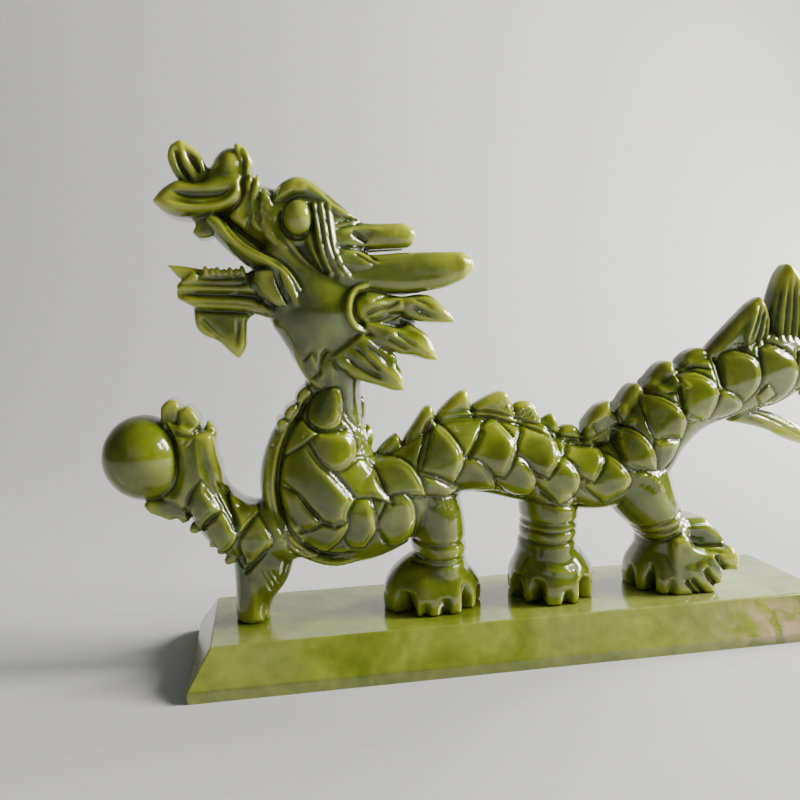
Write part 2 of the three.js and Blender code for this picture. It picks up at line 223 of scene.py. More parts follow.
jade = Block(
    [DRAGON_LOW[0] - 2, DRAGON_LOW[1] - 2, DRAGON_LOW[2] - 2],
    [DRAGON_HIGH[0] + 2, DRAGON_HIGH[1] + 2, DRAGON_HIGH[2] + 2],
    PITCH,
)


# ---------------------------------------------------------------- forms

def limb(stations, blend=1.0, steps=5, carve=False):
    """A limb along a smooth line. Each station is (x, z, radius in the side view, half width, y)."""
    line = spline([list(s) + [0.0] * (5 - len(s)) for s in stations], steps)
    for a, b in zip(line, line[1:]):
        size = max(a[2], b[2], a[3], b[3]) + REACH + blend
        low = np.minimum(a, b)[[0, 4, 1]] - size
        high = np.maximum(a, b)[[0, 4, 1]] + size
        cut, x, y, z = jade.window(low, high)
        dx, dz, dr, dh, dy = b - a
        x, y, z = x - np.float32(a[0]), y - np.float32(a[4]), z - np.float32(a[1])
        t = np.clip((x * dx + y * dy + z * dz) / (dx * dx + dy * dy + dz * dz), 0, 1)
        radius, half = a[2] + t * dr, a[3] + t * dh
        round_off, side_off = (x - t * dx) ** 2 + (z - t * dz) ** 2, (y - t * dy) ** 2
        k0 = np.sqrt(round_off / radius**2 + side_off / half**2)
        k1 = np.sqrt(round_off / radius**4 + side_off / half**4)
        d = evened(k0, k1, np.minimum(radius, half))
        (jade.carve if carve else jade.join)(cut, d, blend)


def sided(stations, **settings):
    """The same limb on the near side and on the far side."""
    for side in (-1, 1):
        limb([(x, z, r, h, side * y) for x, z, r, h, y in stations], **settings)


def lump(x, y, z, rx, ry, rz, lean=0.0, blend=0.8, carve=False):
    """A rounded lump with its own three half sizes, leaning in the side view."""
    size = max(rx, ry, rz) + REACH + blend
    cut, gx, gy, gz = jade.window((x - size, y - size, z - size), (x + size, y + size, z + size))
    c, s = math.cos(math.radians(lean)), math.sin(math.radians(lean))
    u, v, w = (gx - x) * c - (gz - z) * s, gy - y, (gx - x) * s + (gz - z) * c
    k0 = np.sqrt((u / rx) ** 2 + (v / ry) ** 2 + (w / rz) ** 2)
    k1 = np.sqrt((u / rx**2) ** 2 + (v / ry**2) ** 2 + (w / rz**2) ** 2)
    d = evened(k0, k1, min(rx, ry, rz))
    (jade.carve if carve else jade.join)(cut, d, blend)


def slab(outline, half, y=0.0, edge=(2.0, 2.0), blend=0.6, carve=False):
    """A plate cut to an outline. edge is how far its rounding reaches in from the outline and from the face."""
    cut2, x, z = jade.side_window(outline, REACH + blend)
    reach = half + REACH + blend
    low, high = outline.min(0) - REACH - blend, outline.max(0) + REACH + blend
    cut, _, gy, _ = jade.window((low[0], y - reach, low[1]), (high[0], y + reach, high[1]))
    inward, deep = edge[0], min(edge[1], half)
    flat = distance_to_outline(outline, x, z)[:, None, :]
    across = np.abs(gy - y) - half
    u = np.maximum(flat + inward, 0) / inward
    v = np.maximum(across + deep, 0) / deep
    size = min(inward, deep)
    rounded = evened(np.sqrt(u * u + v * v), np.sqrt((u / inward) ** 2 + (v / deep) ** 2), size)
    core = np.maximum(flat + inward, across + deep)
    d = np.where(core < 0, core - size, rounded)
    (jade.carve if carve else jade.join)(cut, d, blend)


# ---------------------------------------------------------------- relief

def line_relief(layer, points, width, height, ends, steps):
    """A V-shaped line that tapers at both ends. The strongest line wins where two cross."""
    line = spline(points, steps)
    cut, x, z = jade.side_window(line, width)
    away, t = distance_to_line(line, x, z)
    taper = np.clip(np.minimum(t, 1 - t) / ends, 0.1, 1) if ends > 0 else 1.0
    layer[cut] = np.maximum(layer[cut], height * taper * np.clip(1 - away / width, 0, 1))


def groove(points, width=0.9, depth=0.8, ends=0.15, steps=6):
    line_relief(jade.incised, points, width, depth, ends, steps)


def ridge(points, width=1.5, height=0.8, ends=0.15, steps=6):
    line_relief(jade.crested, points, width, height, ends, steps)


def ring(points, width=1.0, depth=0.8):
    """A crease that runs right round a limb."""
    line_relief(jade.ringed, points, width, depth, 0.0, 6)


def twin_groove(points, gap=1.5, width=0.7, depth=0.75, ends=0.15):
    """Two incised lines side by side."""
    line = spline(points, 4)
    way = np.gradient(line, axis=0)
    across = np.stack([-way[:, 1], way[:, 0]], 1) / np.linalg.norm(way, axis=1)[:, None]
    for side in (-0.5, 0.5):
        groove(line + across * gap * side, width, depth, ends, steps=1)


def plate(points, rise=1.5, toward=0.0):
    """One overlapping scale, highest on the side it points to, with a fine line inside that edge."""
    outline = shape(points)
    cut, x, z = jade.side_window(outline, 1.0)
    inside = -distance_to_outline(outline, x, z)
    way = np.array([math.cos(math.radians(toward)), math.sin(math.radians(toward))])
    reach = outline @ way
    along = np.clip((x * way[0] + z * way[1] - reach.min()) / np.ptp(reach), 0, 1)
    soft = np.clip(inside / 3.6, 0, 1)
    height = rise * (0.15 + 0.85 * along) * np.sqrt(1 - (1 - soft) ** 2.4)
    covered = inside > 0
    edge_line = 0.7 * np.clip(1 - np.abs(inside + 0.2) / 0.5, 0, 1)
    rim_line = 0.34 * np.clip(1 - np.abs(inside - 1.25) / 0.45, 0, 1) * np.clip((along - 0.45) / 0.2, 0, 1)
    own = np.maximum(edge_line, rim_line)
    jade.raised[cut] = np.where(covered, height, jade.raised[cut])
    before = jade.incised[cut]
    jade.incised[cut] = np.where(covered, own, np.maximum(edge_line, before))


def hollow(outline, depth, edge=1.5):
    """A sunk area with soft edges."""
    cut, x, z = jade.side_window(outline, 1.0)
    inside = np.clip(-distance_to_outline(outline, x, z) / edge, 0, 1)
    jade.incised[cut] = np.maximum(jade.incised[cut], depth * inside * inside * (3 - 2 * inside))


def chipped(outline, depth, cell, seed):
    """Small irregular tool marks inside an outline."""
    cut, x, z = jade.side_window(outline, 0.5)
    inside = np.clip(-distance_to_outline(outline, x, z) / 1.2, 0, 1)
    rng = np.random.default_rng(seed)
    marks = np.zeros_like(inside)
    for _ in range(5):
        turn, phase = rng.uniform(0, math.pi), rng.uniform(0, 6.28)
        wave = (x * math.cos(turn) + z * math.sin(turn)) * 6.28 / (cell * rng.uniform(0.7, 1.4)) + phase
        marks += np.abs(np.sin(wave)) / 5
    jade.incised[cut] = np.maximum(jade.incised[cut], depth * inside * np.clip(marks * 2.2 - 0.7, 0, 1))


# ---------------------------------------------------------------- body, neck and tail

BODY = [
    (-55, 93, 8.5, 9), (-55.5, 81, 7.6, 9), (-58, 71, 10.6, 10), (-59.5, 60, 14.6, 12), (-58, 49, 17.2, 12.8),
    (-52, 43.8, 16, 13.2), (-41, 45.7, 14, 13), (-31, 52, 11.6, 12), (-21, 58, 11.2, 11.4), (-9, 57.8, 11.4, 11.4),
    (4, 54, 11.2, 11.2), (17, 50.3, 10.0, 11), (29, 49.5, 10.2, 11), (39, 55, 12, 11), (45.5, 64, 12, 10.6),
    (54, 71, 11.2, 10.6), (64, 75.5, 11.2, 10), (76, 79, 12, 9.6), (88, 82.5, 12, 8.4), (99, 86, 7, 5),
]

BELLY_BAND = [
    (-62.5, 82, 1.6, 6.5), (-66.5, 75, 2.2, 7.5), (-71.4, 68, 2.8, 8), (-74.2, 60.5, 3.0, 8.2), (-75.5, 53, 3.0, 8.4),
    (-74.3, 45.5, 3.0, 8.4), (-71, 38.5, 3.0, 8.4), (-65.5, 33, 2.8, 8.4), (-57, 29.8, 2.4, 8.4),
    (-47, 31.8, 2.2, 8), (-38, 35.6, 2.2, 8),
]

# Scale outlines from the tail to the head: each lies over the one before it. A 1 marks a corner.
TAIL_SCALES = [
    [(92, 87, 1), (97, 88), (101, 85), (102, 80), (98, 76), (93, 75), (91, 80)],
    [(78.3, 88, 1), (82, 89.3), (86, 87.5), (90, 84.5), (91.6, 79), (89.5, 73), (85, 70), (80, 72.5), (77.8, 77)],
    [(76.8, 73, 1), (80, 77.2, 1), (84, 73.4, 1), (80, 70, 1)],
    [(65.8, 86.5, 1), (70, 87.8), (74, 86.7), (76.8, 84), (77.4, 79), (76, 75), (73, 71.6, 1), (68.5, 74), (65.6, 76.5)],
    [(61.6, 74.6, 1), (65, 75.8), (69, 74), (72.3, 70.4), (71, 68), (66, 66.6), (61, 66.6, 1)],
    [(51.3, 80.6, 1), (54.5, 81.5), (58, 80.9), (61.3, 78.4), (62.7, 75), (62, 71), (60.5, 67, 1), (56, 66.5),
     (52.4, 67), (50.8, 72)],
    [(41.2, 61.4, 1), (45, 61.8), (50.6, 60.6, 1), (48, 55), (45, 51.8, 1), (41.8, 52.6), (41.3, 57)],
    [(39.2, 75.2, 1), (43, 75), (47, 73.2), (50.6, 69.8), (52, 65.5), (50.8, 61, 1), (46, 61.8), (42, 61.6),
     (40.2, 65), (39.4, 70)],
    [(30.2, 65.2, 1), (33, 65.7), (36.6, 64), (39.9, 60.4), (41.7, 56), (41.8, 51.8, 1), (36, 52.8), (31.2, 54.6),
     (29.8, 59)],
]
BACK_SCALES = [
    [(23, 57.5, 1), (27.5, 57.2), (31.2, 53.8), (33.4, 49.4), (31, 45.6), (25.5, 42.6, 1), (18.6, 48.6, 1)],
    [(10.8, 56.5, 1), (16, 61.3, 1), (20, 61), (24.6, 60.7), (25.9, 57), (24.2, 53.2), (21.3, 49.5, 1), (15.5, 52.5),
     (10, 55)],
    [(7, 57.5, 1), (12.7, 57.4), (16, 53.7), (16.9, 49.8), (15, 45.6), (9.8, 43.4, 1), (2.2, 50.9, 1)],
    [(-4.2, 60.9, 1), (1.5, 67.4, 1), (5, 67.2), (9.3, 66.2), (11.3, 61.5), (10.2, 56.4), (6.5, 51.7, 1), (0, 55),
     (-5, 57.5)],
    [(-7, 59, 1), (-2.7, 59), (1, 55.7), (3.2, 50.5), (1.6, 46, 1), (-4, 47), (-10.5, 52.6, 1)],
    [(-18.9, 58, 1), (-12, 67.9, 1), (-9.5, 69.4), (-7, 69.1), (-3.8, 65), (-2.8, 62), (-4.4, 57.4), (-6.8, 52.5, 1),
     (-13, 54), (-19, 56)],
    [(-21, 59.2, 1), (-16.2, 59.1), (-12.2, 56), (-9.1, 50.6), (-9.4, 48.1, 1), (-16, 48), (-22, 48.2, 1)],
    [(-27.3, 70.2, 1), (-24, 68.2), (-20.4, 63.1), (-19.4, 59.5), (-20, 55.9), (-22.3, 51.7, 1), (-27, 54),
     (-32.5, 56), (-31, 61), (-28.7, 66)],
    [(-33, 56.4, 1), (-29, 55), (-19.8, 50, 1), (-24, 48.2), (-31.5, 49, 1)],
]
BREAST_SCALES = [
    [(-49, 60, 1), (-40, 60), (-35.3, 58.2), (-32.2, 53.5), (-31, 49, 1), (-37, 49.4), (-41.5, 49.3), (-46, 55)],
    [(-41.5, 50, 1), (-37.5, 50.2), (-34.8, 47), (-34, 41.5), (-34.8, 37), (-37.5, 34.1, 1), (-42, 34.4),
     (-46.5, 41, 1)],
    [(-53.5, 50.2, 1), (-49, 50.4), (-46.9, 48), (-45.9, 43.5), (-46, 40), (-49.3, 34.6, 1), (-53.8, 35.4), (-56, 42)],
    [(-59, 57.8, 1), (-55.5, 58.4), (-51.5, 60.2), (-48.4, 60.2), (-45.1, 56.7), (-43.6, 52), (-41, 47.3, 1),
     (-46.5, 49.4), (-52, 49.5, 1)],
    [(-65, 69.2, 1), (-58.5, 69.1), (-54.2, 69.3), (-51.2, 67), (-50.4, 62.4), (-52.2, 59.5), (-55, 57.8),
     (-58.7, 57.4, 1), (-62, 61)],
    [(-64, 73), (-62.8, 78), (-60, 80.6), (-55, 81.2), (-53.9, 76), (-55.1, 71.1), (-59, 69.1), (-62.3, 70.6)],
    [(-71, 41, 1), (-66, 43), (-57.5, 44), (-54.2, 46), (-54.1, 41.4), (-56.4, 37.3), (-60.3, 33.6, 1), (-66, 31.8),
     (-71, 36)],
    [(-73, 56, 1), (-71, 61.8), (-68, 64.6), (-64.8, 66.5, 1), (-61.4, 60.7), (-57.4, 56.3), (-51.8, 49.5, 1),
     (-54, 46), (-54.6, 43.3), (-58, 41.6, 1), (-63, 44), (-68, 51.5)],
    [(-73.5, 53.5, 1), (-68, 51.7, 1), (-65.5, 48.3), (-61.8, 43.8), (-64.4, 41.2), (-70, 39.8, 1), (-73, 44)],
    [(-72, 61.8, 1), (-67, 64.8), (-61.6, 68.8, 1), (-64, 70.3), (-66, 72.6), (-69, 71.2), (-72, 66)],
]
ARM_SCALES = [
    [(-79.5, 46, 1), (-84.7, 40.3, 1), (-84.7, 36), (-83, 31.4, 1), (-80, 32.8), (-76.4, 36.8), (-75.8, 39.5)],
    [(-87.8, 53, 1), (-82, 53.6), (-79.4, 51), (-79.1, 46.3, 1), (-82, 43.8), (-84.8, 41.2, 1), (-86.6, 46)],
    [(-94.4, 45, 1), (-90, 47.4), (-88.3, 46.3), (-85.5, 41, 1), (-86.5, 38.4), (-89.5, 35.3), (-93, 37.3),
     (-95.7, 41.3, 1)],
    [(-94.9, 56.8, 1), (-92, 52.5), (-89.5, 48.3), (-92, 46.8), (-94.1, 44.7), (-95.5, 41.6, 1), (-97.8, 45.2),
     (-98.2, 49), (-97.2, 52.9)],
]
SCALE_GROUPS = [(TAIL_SCALES, 25, 1.5), (BACK_SCALES, 0, 1.7), (BREAST_SCALES, -15, 1.5), (ARM_SCALES, -40, 1.2)]


def body():
    limb(BODY, blend=0.6, steps=6)
    limb(BELLY_BAND, blend=0.35)
    for group, toward, rise in SCALE_GROUPS:
        for points in group:
            plate(points, rise, toward)
    # the double line under the fins and the edge of the belly
    twin_groove([(-27, 70.6), (-18, 71.4), (-9, 70.9), (-3, 69.2), (4, 66.8), (10, 64), (16, 61.4), (22, 60.9),
                 (27, 63), (29.5, 66)], 1.7, 0.7, 0.8)
    groove([(-19.5, 47.4), (-9, 47.6), (-2, 45.6), (5, 44.2), (13, 42.6), (25, 41.2)], 0.8, 0.7)
    # deep cuts: collar, flank of the neck, hollows between the scales
    groove([(-63.5, 70.4), (-61, 69.2), (-56, 68.8), (-52.5, 69.6)], 1.1, 1.2)
    twin_groove([(-55, 77), (-53.4, 72.4), (-50, 68)], 1.4)
    twin_groove([(-65, 66.4), (-61.6, 60.7), (-57.4, 56.2), (-51.6, 49.2)], 1.5, 0.6, 0.7)
    groove([(-67.8, 51.6), (-65, 47.6), (-61.8, 43.8), (-58, 42)], 0.9, 0.9)
    twin_groove([(-45.4, 56.4), (-43.6, 52), (-41, 47.6)], 1.3, 0.6, 0.8)
    groove([(-47.6, 49.6), (-46.6, 45), (-45.8, 41), (-43.4, 37), (-41.4, 34.6)], 0.8, 0.8)
    groove([(-18.9, 58), (-15.6, 62.4), (-12, 67.6)], 1.2, 1.2)
    groove([(1.4, 67), (-1.4, 63.8), (-3.8, 60.6)], 1.0, 1.0)
    groove([(16, 61), (13.4, 58.6), (10.8, 56.4)], 0.9, 1.0)
    groove([(2.4, 50.8), (5.6, 47.4), (9.6, 43.8)], 1.1, 1.0)
    groove([(16.2, 49.8), (20, 46.4), (25.2, 42.6)], 1.0, 0.9)
    twin_groove([(-32.4, 55.8), (-28, 54.2), (-20, 50)], 1.3, 0.6, 0.8)
    # dark slots where the tail's scales overlap, and the double lines beside them
    for line in ([(30.8, 65), (30.6, 60), (31.6, 55)], [(51.2, 78.6), (51, 73), (51.6, 68.4)],
                 [(64.4, 86.4), (64.2, 81), (64.8, 76)]):
        groove(line, 1.3, 1.9)
    for line in ([(28.9, 66), (28.6, 61), (29.8, 56)], [(49.6, 77.4), (49.4, 74), (49.8, 70.6)],
                 [(62.6, 86), (62.4, 81), (63, 76.4)], [(77.8, 88), (77.7, 81), (78, 73)]):
        groove(line, 0.7, 0.7)
    twin_groove([(42, 61.2), (46, 61.8), (50.6, 60.6)], 1.3, 0.6, 0.7)
    twin_groove([(32.4, 54), (36, 52.6), (40, 51.4)], 1.4, 0.6, 0.8)
    groove([(52.6, 69), (54.4, 67.6), (58, 66.8)], 0.8, 0.8)
    # rough, scraped patches
    chipped(shape([(-35, 49), (-27, 49.6), (-19.6, 47), (-21, 41.6), (-27, 43.4), (-32, 45)]), 0.34, 2.4, 11)
    chipped(shape([(-5, 75), (1, 76), (10, 72), (12, 66), (4, 68), (-4, 71)]), 0.5, 2.2, 12)
    chipped(shape([(-50.5, 72), (-45.5, 72), (-45, 63), (-50, 62)]), 0.45, 2.2, 13)


def belly_steps():
    """The strip under the throat: two fine lines along it and fine cross cuts near its top."""
    groove([(-63.4, 79.6), (-66.6, 73.6), (-70, 68.6), (-72.4, 62), (-73.4, 54), (-72.8, 47), (-70.2, 40.5),
            (-66, 35.8), (-59, 32.4), (-50, 33.2)], 1.2, 1.5, ends=0.05)
    for x, z in ((-66.8, 75.4), (-69.4, 71.6), (-71.6, 67.8), (-73.2, 64)):
        groove([(x - 2.2, z + 1.4), (x + 2.4, z - 0.6)], 0.6, 0.6)
    groove([(-65.6, 78.6), (-69.2, 72), (-72.8, 67), (-74.8, 61), (-75.8, 54), (-75, 46.4), (-72.4, 40),
            (-68, 34.8), (-60, 31), (-52, 31.2)], 0.7, 0.7, ends=0.05)
    for root, tip in (((-63.5, 81), (-66.6, 76.8)), ((-66.5, 76), (-70.6, 72.8)), ((-69.6, 72), (-73, 70.2))):
        slab(leaf_outline(root, tip, 3.6), 7.6, edge=(0.9, 1.6), blend=0.3)


# Fins along the spine; a 1 marks a corner.
FINS = [
    ([(-46, 60), (-45, 62.8), (-42, 66), (-39, 68, 1), (-38, 66.6), (-37.4, 64.8, 1), (-36.4, 59, 1)], 3.4),
    ([(-38.4, 58, 1), (-37.4, 65), (-34, 70.2), (-31, 74.2), (-29, 75.6, 1), (-28, 73.8), (-27.4, 70), (-29, 64),
      (-32.6, 56, 1)], 3.8),
    ([(-28.6, 66, 1), (-27.4, 71.8), (-24, 75.8), (-20.4, 78.8), (-18.2, 79.6, 1), (-17.4, 77.6), (-16.8, 74.6, 1),
      (-14, 68, 1)], 3.8),
    ([(-18, 68, 1), (-16.4, 75, 1), (-13, 76.9), (-10, 78.2), (-7, 78.8), (-5.2, 77.7, 1), (-4.4, 75.4),
      (-3.4, 72), (-2, 66, 1)], 3.8),
    ([(-5.4, 67, 1), (-4.2, 74), (-0.4, 75.6), (2.6, 74.4), (4, 71.8), (4.6, 70), (8, 71.4), (9.8, 68.6),
      (10, 66), (9, 62, 1)], 3.2),
    ([(8, 62, 1), (9.8, 66.6), (13, 67.8), (15.6, 67), (17.2, 64.4), (19, 60, 1)], 3.2),
]
TAIL_KNOBS = [
    ([(16.8, 61, 1), (17.6, 65.4), (19.2, 69.4), (22.2, 72.9), (25.9, 74.5, 1), (26.8, 71.4, 1), (29.2, 69.2),
      (30.2, 65.6), (29, 61, 1)], 4.6),
    ([(27.4, 69.6), (29.4, 74.2), (31.6, 77.4), (34.2, 79.3), (36.4, 78.2), (38.3, 75.2), (40, 70), (40.4, 65.6),
      (36, 63), (30, 66)], 5.2),
    ([(36.6, 77.4, 1), (40, 82.4), (43, 85.1), (45.8, 85.4), (47.6, 82.6), (49.9, 79.8, 1), (50.2, 74), (47, 71),
      (41, 73)], 5.0),
    ([(47.8, 82.8, 1), (50.5, 87.3), (54, 89.2), (56.8, 88.9), (58, 86.6, 1), (60, 82), (57, 78), (51, 78)], 4.8),
]


def fins():
    for points, half in FINS:
        slab(slid(shape(points), -half / 2), half, edge=(2.2, 3.2), blend=0.4)
    for points, half in TAIL_KNOBS:
        slab(slid(shape(points), -half / 2), half, edge=(2.6, 3.6), blend=0.35)
    limb([(-50, 66, 2.6, 4), (-48.8, 73, 2.3, 3.2), (-48, 77, 1.2, 2.2)], blend=0.5)
    limb([(-50, 60, 3, 4), (-47, 65, 2.8, 4), (-46, 68, 1.4, 2.6)], blend=0.5)
    twin_groove([(-27.4, 70), (-29.4, 64), (-33, 56)], 1.4, 0.7, 0.9)
    # facets on the knobs of the tail
    facets = [
        (ridge, [(18.6, 66), (21.6, 68.8), (26, 70.8)], 1.2, 0.6),
        (groove, [(21, 67.8), (21.8, 66), (23, 64.2)], 1.0, 0.8),
        (groove, [(17.6, 62.2), (22, 61.2), (27, 62), (29.8, 64.4)], 0.7, 0.7),
        (ridge, [(29.4, 73.6), (31, 70), (33.4, 67)], 2.4, 0.9),
        (ridge, [(38.6, 80), (41, 78), (43, 75)], 2.2, 0.8),
        (ridge, [(45, 84), (46.6, 80), (49.6, 77)], 2.0, 0.8),
        (groove, [(41, 76), (45, 76.2), (49.6, 77.4)], 0.8, 0.9),
        (groove, [(50, 82.4), (54, 83.4), (58, 82.4)], 0.8, 0.9),
        (ridge, [(50.6, 86), (53, 84.6), (57.4, 85.2)], 1.6, 0.6),
    ]
    for cut, points, width, depth in facets:
        cut(slid(points, -5.0), width, depth)


# ---------------------------------------------------------------- legs and feet

THIGHS = [
    [(-28, 50, 8, 11), (-25.8, 40, 8.2, 12.2), (-25.3, 33.5, 7.6, 12), (-24.9, 29, 7.4, 11.4), (-25.5, 20, 8, 11.5)],
    [(10, 48, 8.6, 10.6), (10.6, 40, 8.4, 11.4), (10.4, 33, 7.8, 11.2), (9.8, 28, 8.0, 11.2), (9.5, 20, 9, 11.5)],
    [(38, 52, 10.5, 11), (41, 44, 9.8, 12.2), (46, 36, 7.6, 11.6), (49, 29.5, 7.2, 11.2), (49.5, 20, 8.5, 11.5)],
]

# Standing paws: x, radius and height, then the cuts between the toes as direction in degrees, half width
# in degrees, height and depth (a share of the radius). -90 faces the near side.
PAWS = [
    (-27.6, 16.0, 16, [(-131, 16, 7, 0.34), (-107, 7, 4, 0.12), (-84, 9, 5, 0.14), (-54, 11, 8.5, 0.3),
                       (-20, 14, 6, 0.2), (20, 14, 6, 0.2), (55, 14, 7, 0.26), (90, 12, 6, 0.2), (125, 14, 7, 0.26),
                       (172, 16, 6, 0.2)]),
    (11.2, 14.2, 18, [(-160, 15, 8, 0.24), (-126, 12, 7.5, 0.34), (-88, 9, 4.5, 0.18), (-57, 15, 9, 0.36),
                      (-15, 14, 6, 0.2), (22, 14, 6, 0.2), (56, 14, 7, 0.3), (90, 12, 6, 0.2), (125, 14, 7, 0.3),
                      (163, 14, 6, 0.2)]),
    (50.2, 13.8, 16, [(-170, 12, 7, 0.2), (-138, 9, 9, 0.34), (-108, 9, 5, 0.12), (60, 14, 7, 0.26),
                      (100, 14, 7, 0.26), (140, 14, 7, 0.26)]),
]


def paw(x0, radius, height, cuts):
    """A bell with V-shaped cuts between its toes."""
    reach = radius + REACH
    cut, x, y, z = jade.window((x0 - reach, -20, SOLE - 2), (x0 + reach, 20, SOLE + height + 4))
    u, v = x - x0, y * (radius / HALF_BLOCK)
    turn = np.degrees(np.arctan2(v, u))
    up = np.clip((z - SOLE) / height, 0, 1)
    bell = radius * (0.94 + 0.17 * up - 0.77 * up**2.4) * (1 + 0.02 * np.cos(np.radians(turn) * 7 + 1.0))
    taken = 0.0
    for direction, half_width, cut_height, depth in cuts:
        off = np.abs((turn - direction + 180) % 360 - 180)
        low = np.clip(1 - (z - SOLE) / cut_height, 0, 1) ** 0.6
        taken = np.maximum(taken, depth * low * np.clip(1 - off / half_width, 0, 1))
    d = np.sqrt(u * u + v * v) - bell * (1 - taken)
    d = np.maximum(d * 0.8, (z - SOLE - height))
    jade.join(cut, d, 1.4)


# The hind paw: the web between its far toes, and the toes that fan out towards the tail.
WEB = [(49, 28, 1), (51.6, 34.8, 1), (61.4, 34.5, 1), (64.9, 31.2), (67.7, 27.6), (69.8, 24), (69.4, 19, 1),
       (60, 17), (50, 17, 1)]
MITTEN = [(46, 31, 1), (51.4, 31), (53.8, 27.7), (57.4, 26.3), (63.6, 25.7), (66.4, 26.5), (68.8, 24.2), (69.6, 21.2),
          (68.6, 18.4, 1), (65.6, 19.2), (62.4, 21.4, 1), (64.0, 17.4), (62.6, 15.0), (59.8, 15.6, 1), (61.4, 13.6),
          (61.0, 9, 1), (46, 9, 1)]


def legs():
    for stations in THIGHS:
        limb(stations, blend=1.2)
    for settings in PAWS:
        paw(*settings)
    slab(shape(WEB), 8.6, y=0.4, edge=(3.0, 4.6), blend=0.8)
    for side in (-1, 1):
        slab(shape(MITTEN), 5.0, y=side * 8.8, edge=(2.2, 3.6), blend=0.7)
        limb([(60.5, 22.6, 3.6, 3, side * 11.4), (66, 22.4, 3.0, 2.6, side * 11.4)], blend=0.6)
        limb([(56, 21, 3.2, 3, side * 11.6), (60.8, 17.4, 2.6, 2.4, side * 11.6)], blend=0.6)
        limb([(52, 20, 3.6, 3, side * 11.4), (57.6, 14.6, 2.8, 2.6, side * 11.4)], blend=0.6)
    groove([(60.2, 24.6), (61.6, 22.4), (64, 20.2)], 1.2, 1.6, ends=0.05)
    groove([(56.4, 20.8), (58, 18), (60.6, 15.0)], 1.2, 1.8, ends=0.05)
    groove([(52.8, 28.6), (55.4, 26.9), (58.6, 25.8), (64, 25.0)], 0.8, 0.8)
    groove([(53.6, 30.2), (56.4, 28.6), (60, 27.8)], 0.7, 0.6)
    for points, width in (
        ([(-36, 34.6), (-28, 33.4), (-17, 33.6)], 1.3), ([(-36, 29.4), (-28, 28.4), (-16, 29.2)], 1.1),
        ([(-34, 27), (-24, 27.2), (-17, 27.8)], 0.7),
        ([(0, 37.2), (10, 36.8), (20, 37.0)], 1.3), ([(1, 31.2), (10, 31.1), (20, 31.4)], 0.9),
        ([(1, 34.6), (10, 34.6), (20, 34.8)], 0.6),
        ([(36, 31.5), (44, 35.2), (50, 38)], 0.9), ([(38, 26.6), (46.5, 30.4), (53, 34)], 1.0),
        ([(37, 29.4), (45.5, 32.8), (52, 36)], 0.6),
    ):
        ring(points, width, 0.8)
    # flats catching the light on the middle paw and the shoulder of the hind leg
    ridge([(4, 24), (10, 23), (15, 22.4)], 1.8, 0.6)
    ridge([(14.8, 21), (18.6, 20.6), (22, 19.6)], 1.4, 0.7)
    ridge([(35, 50.4), (38, 50.8), (41, 48.8), (44, 45)], 2.2, 0.7)
    chipped(shape([(34, 51), (40, 51.4), (45, 46), (42, 44.6), (36, 47)]), 0.3, 2.6, 21)
    for x0, z0, x1, z1 in ((50, 17.4, 54.2, 12.4), (51.8, 18, 56.8, 12.4)):
        groove([(x0, z0), (x1, z1)], 1.0, 1.6, steps=2)


# The raised foreleg from the wrist to the shoulder, its thumb, and the strut that carries it.
ARM = [(-100.0, 71.5, 3.2, 5.5), (-96.8, 65.5, 5.0, 7.4), (-95.4, 57.5, 5.7, 8.4), (-91.8, 47.5, 7.0, 9.2),
       (-84, 40, 8.6, 10.4), (-72, 39, 9.4, 11.4)]
STRUT = [(-78, 37, 9.0, 9.4), (-78.8, 28.5, 8.0, 8.6), (-81.4, 20, 5.2, 6.8), (-82.4, SOLE - 4, 4.4, 5.8)]
PEARL = (-110.8, 62.8, 11.8)

# Parts of the hand as side outlines with their half thickness.
WRIST = [(-102.6, 72.4), (-101.4, 66), (-101.0, 60), (-102.4, 55), (-104.8, 51, 1), (-98, 46), (-91.6, 49), (-88.8, 56),
         (-90.0, 64), (-91, 69.6), (-95, 71), (-99, 72.8)]
PALM = [(-103.6, 74.8, 1), (-101.6, 72.5), (-100, 68), (-99, 62), (-99.5, 56), (-97, 49, 1), (-101, 49), (-106, 51.4),
        (-104.6, 53.6), (-102.4, 58), (-101.8, 63), (-102.2, 68), (-104.2, 72.6)]
KNUCKLES = [
    ([(-105.2, 77.6, 1), (-103.2, 79.4), (-100.9, 79.2), (-99.6, 77.4, 1), (-100.4, 74), (-101.6, 71.4, 1),
      (-104.6, 71.4), (-105.4, 74.6)], 6.0),
    ([(-100.2, 76.4, 1), (-97.6, 77.6), (-95.6, 75.8), (-94.2, 73, 1), (-95.6, 70.4), (-98.4, 68.6, 1), (-101, 71.6)],
     7.0),
    ([(-95.2, 72.6, 1), (-93.8, 70.6), (-92.4, 73.2, 1), (-90.4, 71.2), (-89.8, 69.2), (-90.8, 66.6, 1), (-95, 66)],
     5.6),
]
THUMB = [(-111.4, 49.6, 1), (-110, 51.2), (-107, 51.4), (-103, 51.4), (-98, 50, 1), (-98.6, 45), (-100.8, 43.6, 1),
         (-102.2, 45.2), (-104.2, 44.8, 1), (-106.8, 46), (-109.6, 47.2)]
ELBOW_SPIKES = [((-94, 44.6), (-98.8, 41.4), 3.4), ((-89, 40), (-93.6, 36.6), 3.0), ((-87, 37.4), (-91.6, 34.6), 3.2),
                ((-85, 34.6), (-89.6, 31.4), 3.2)]


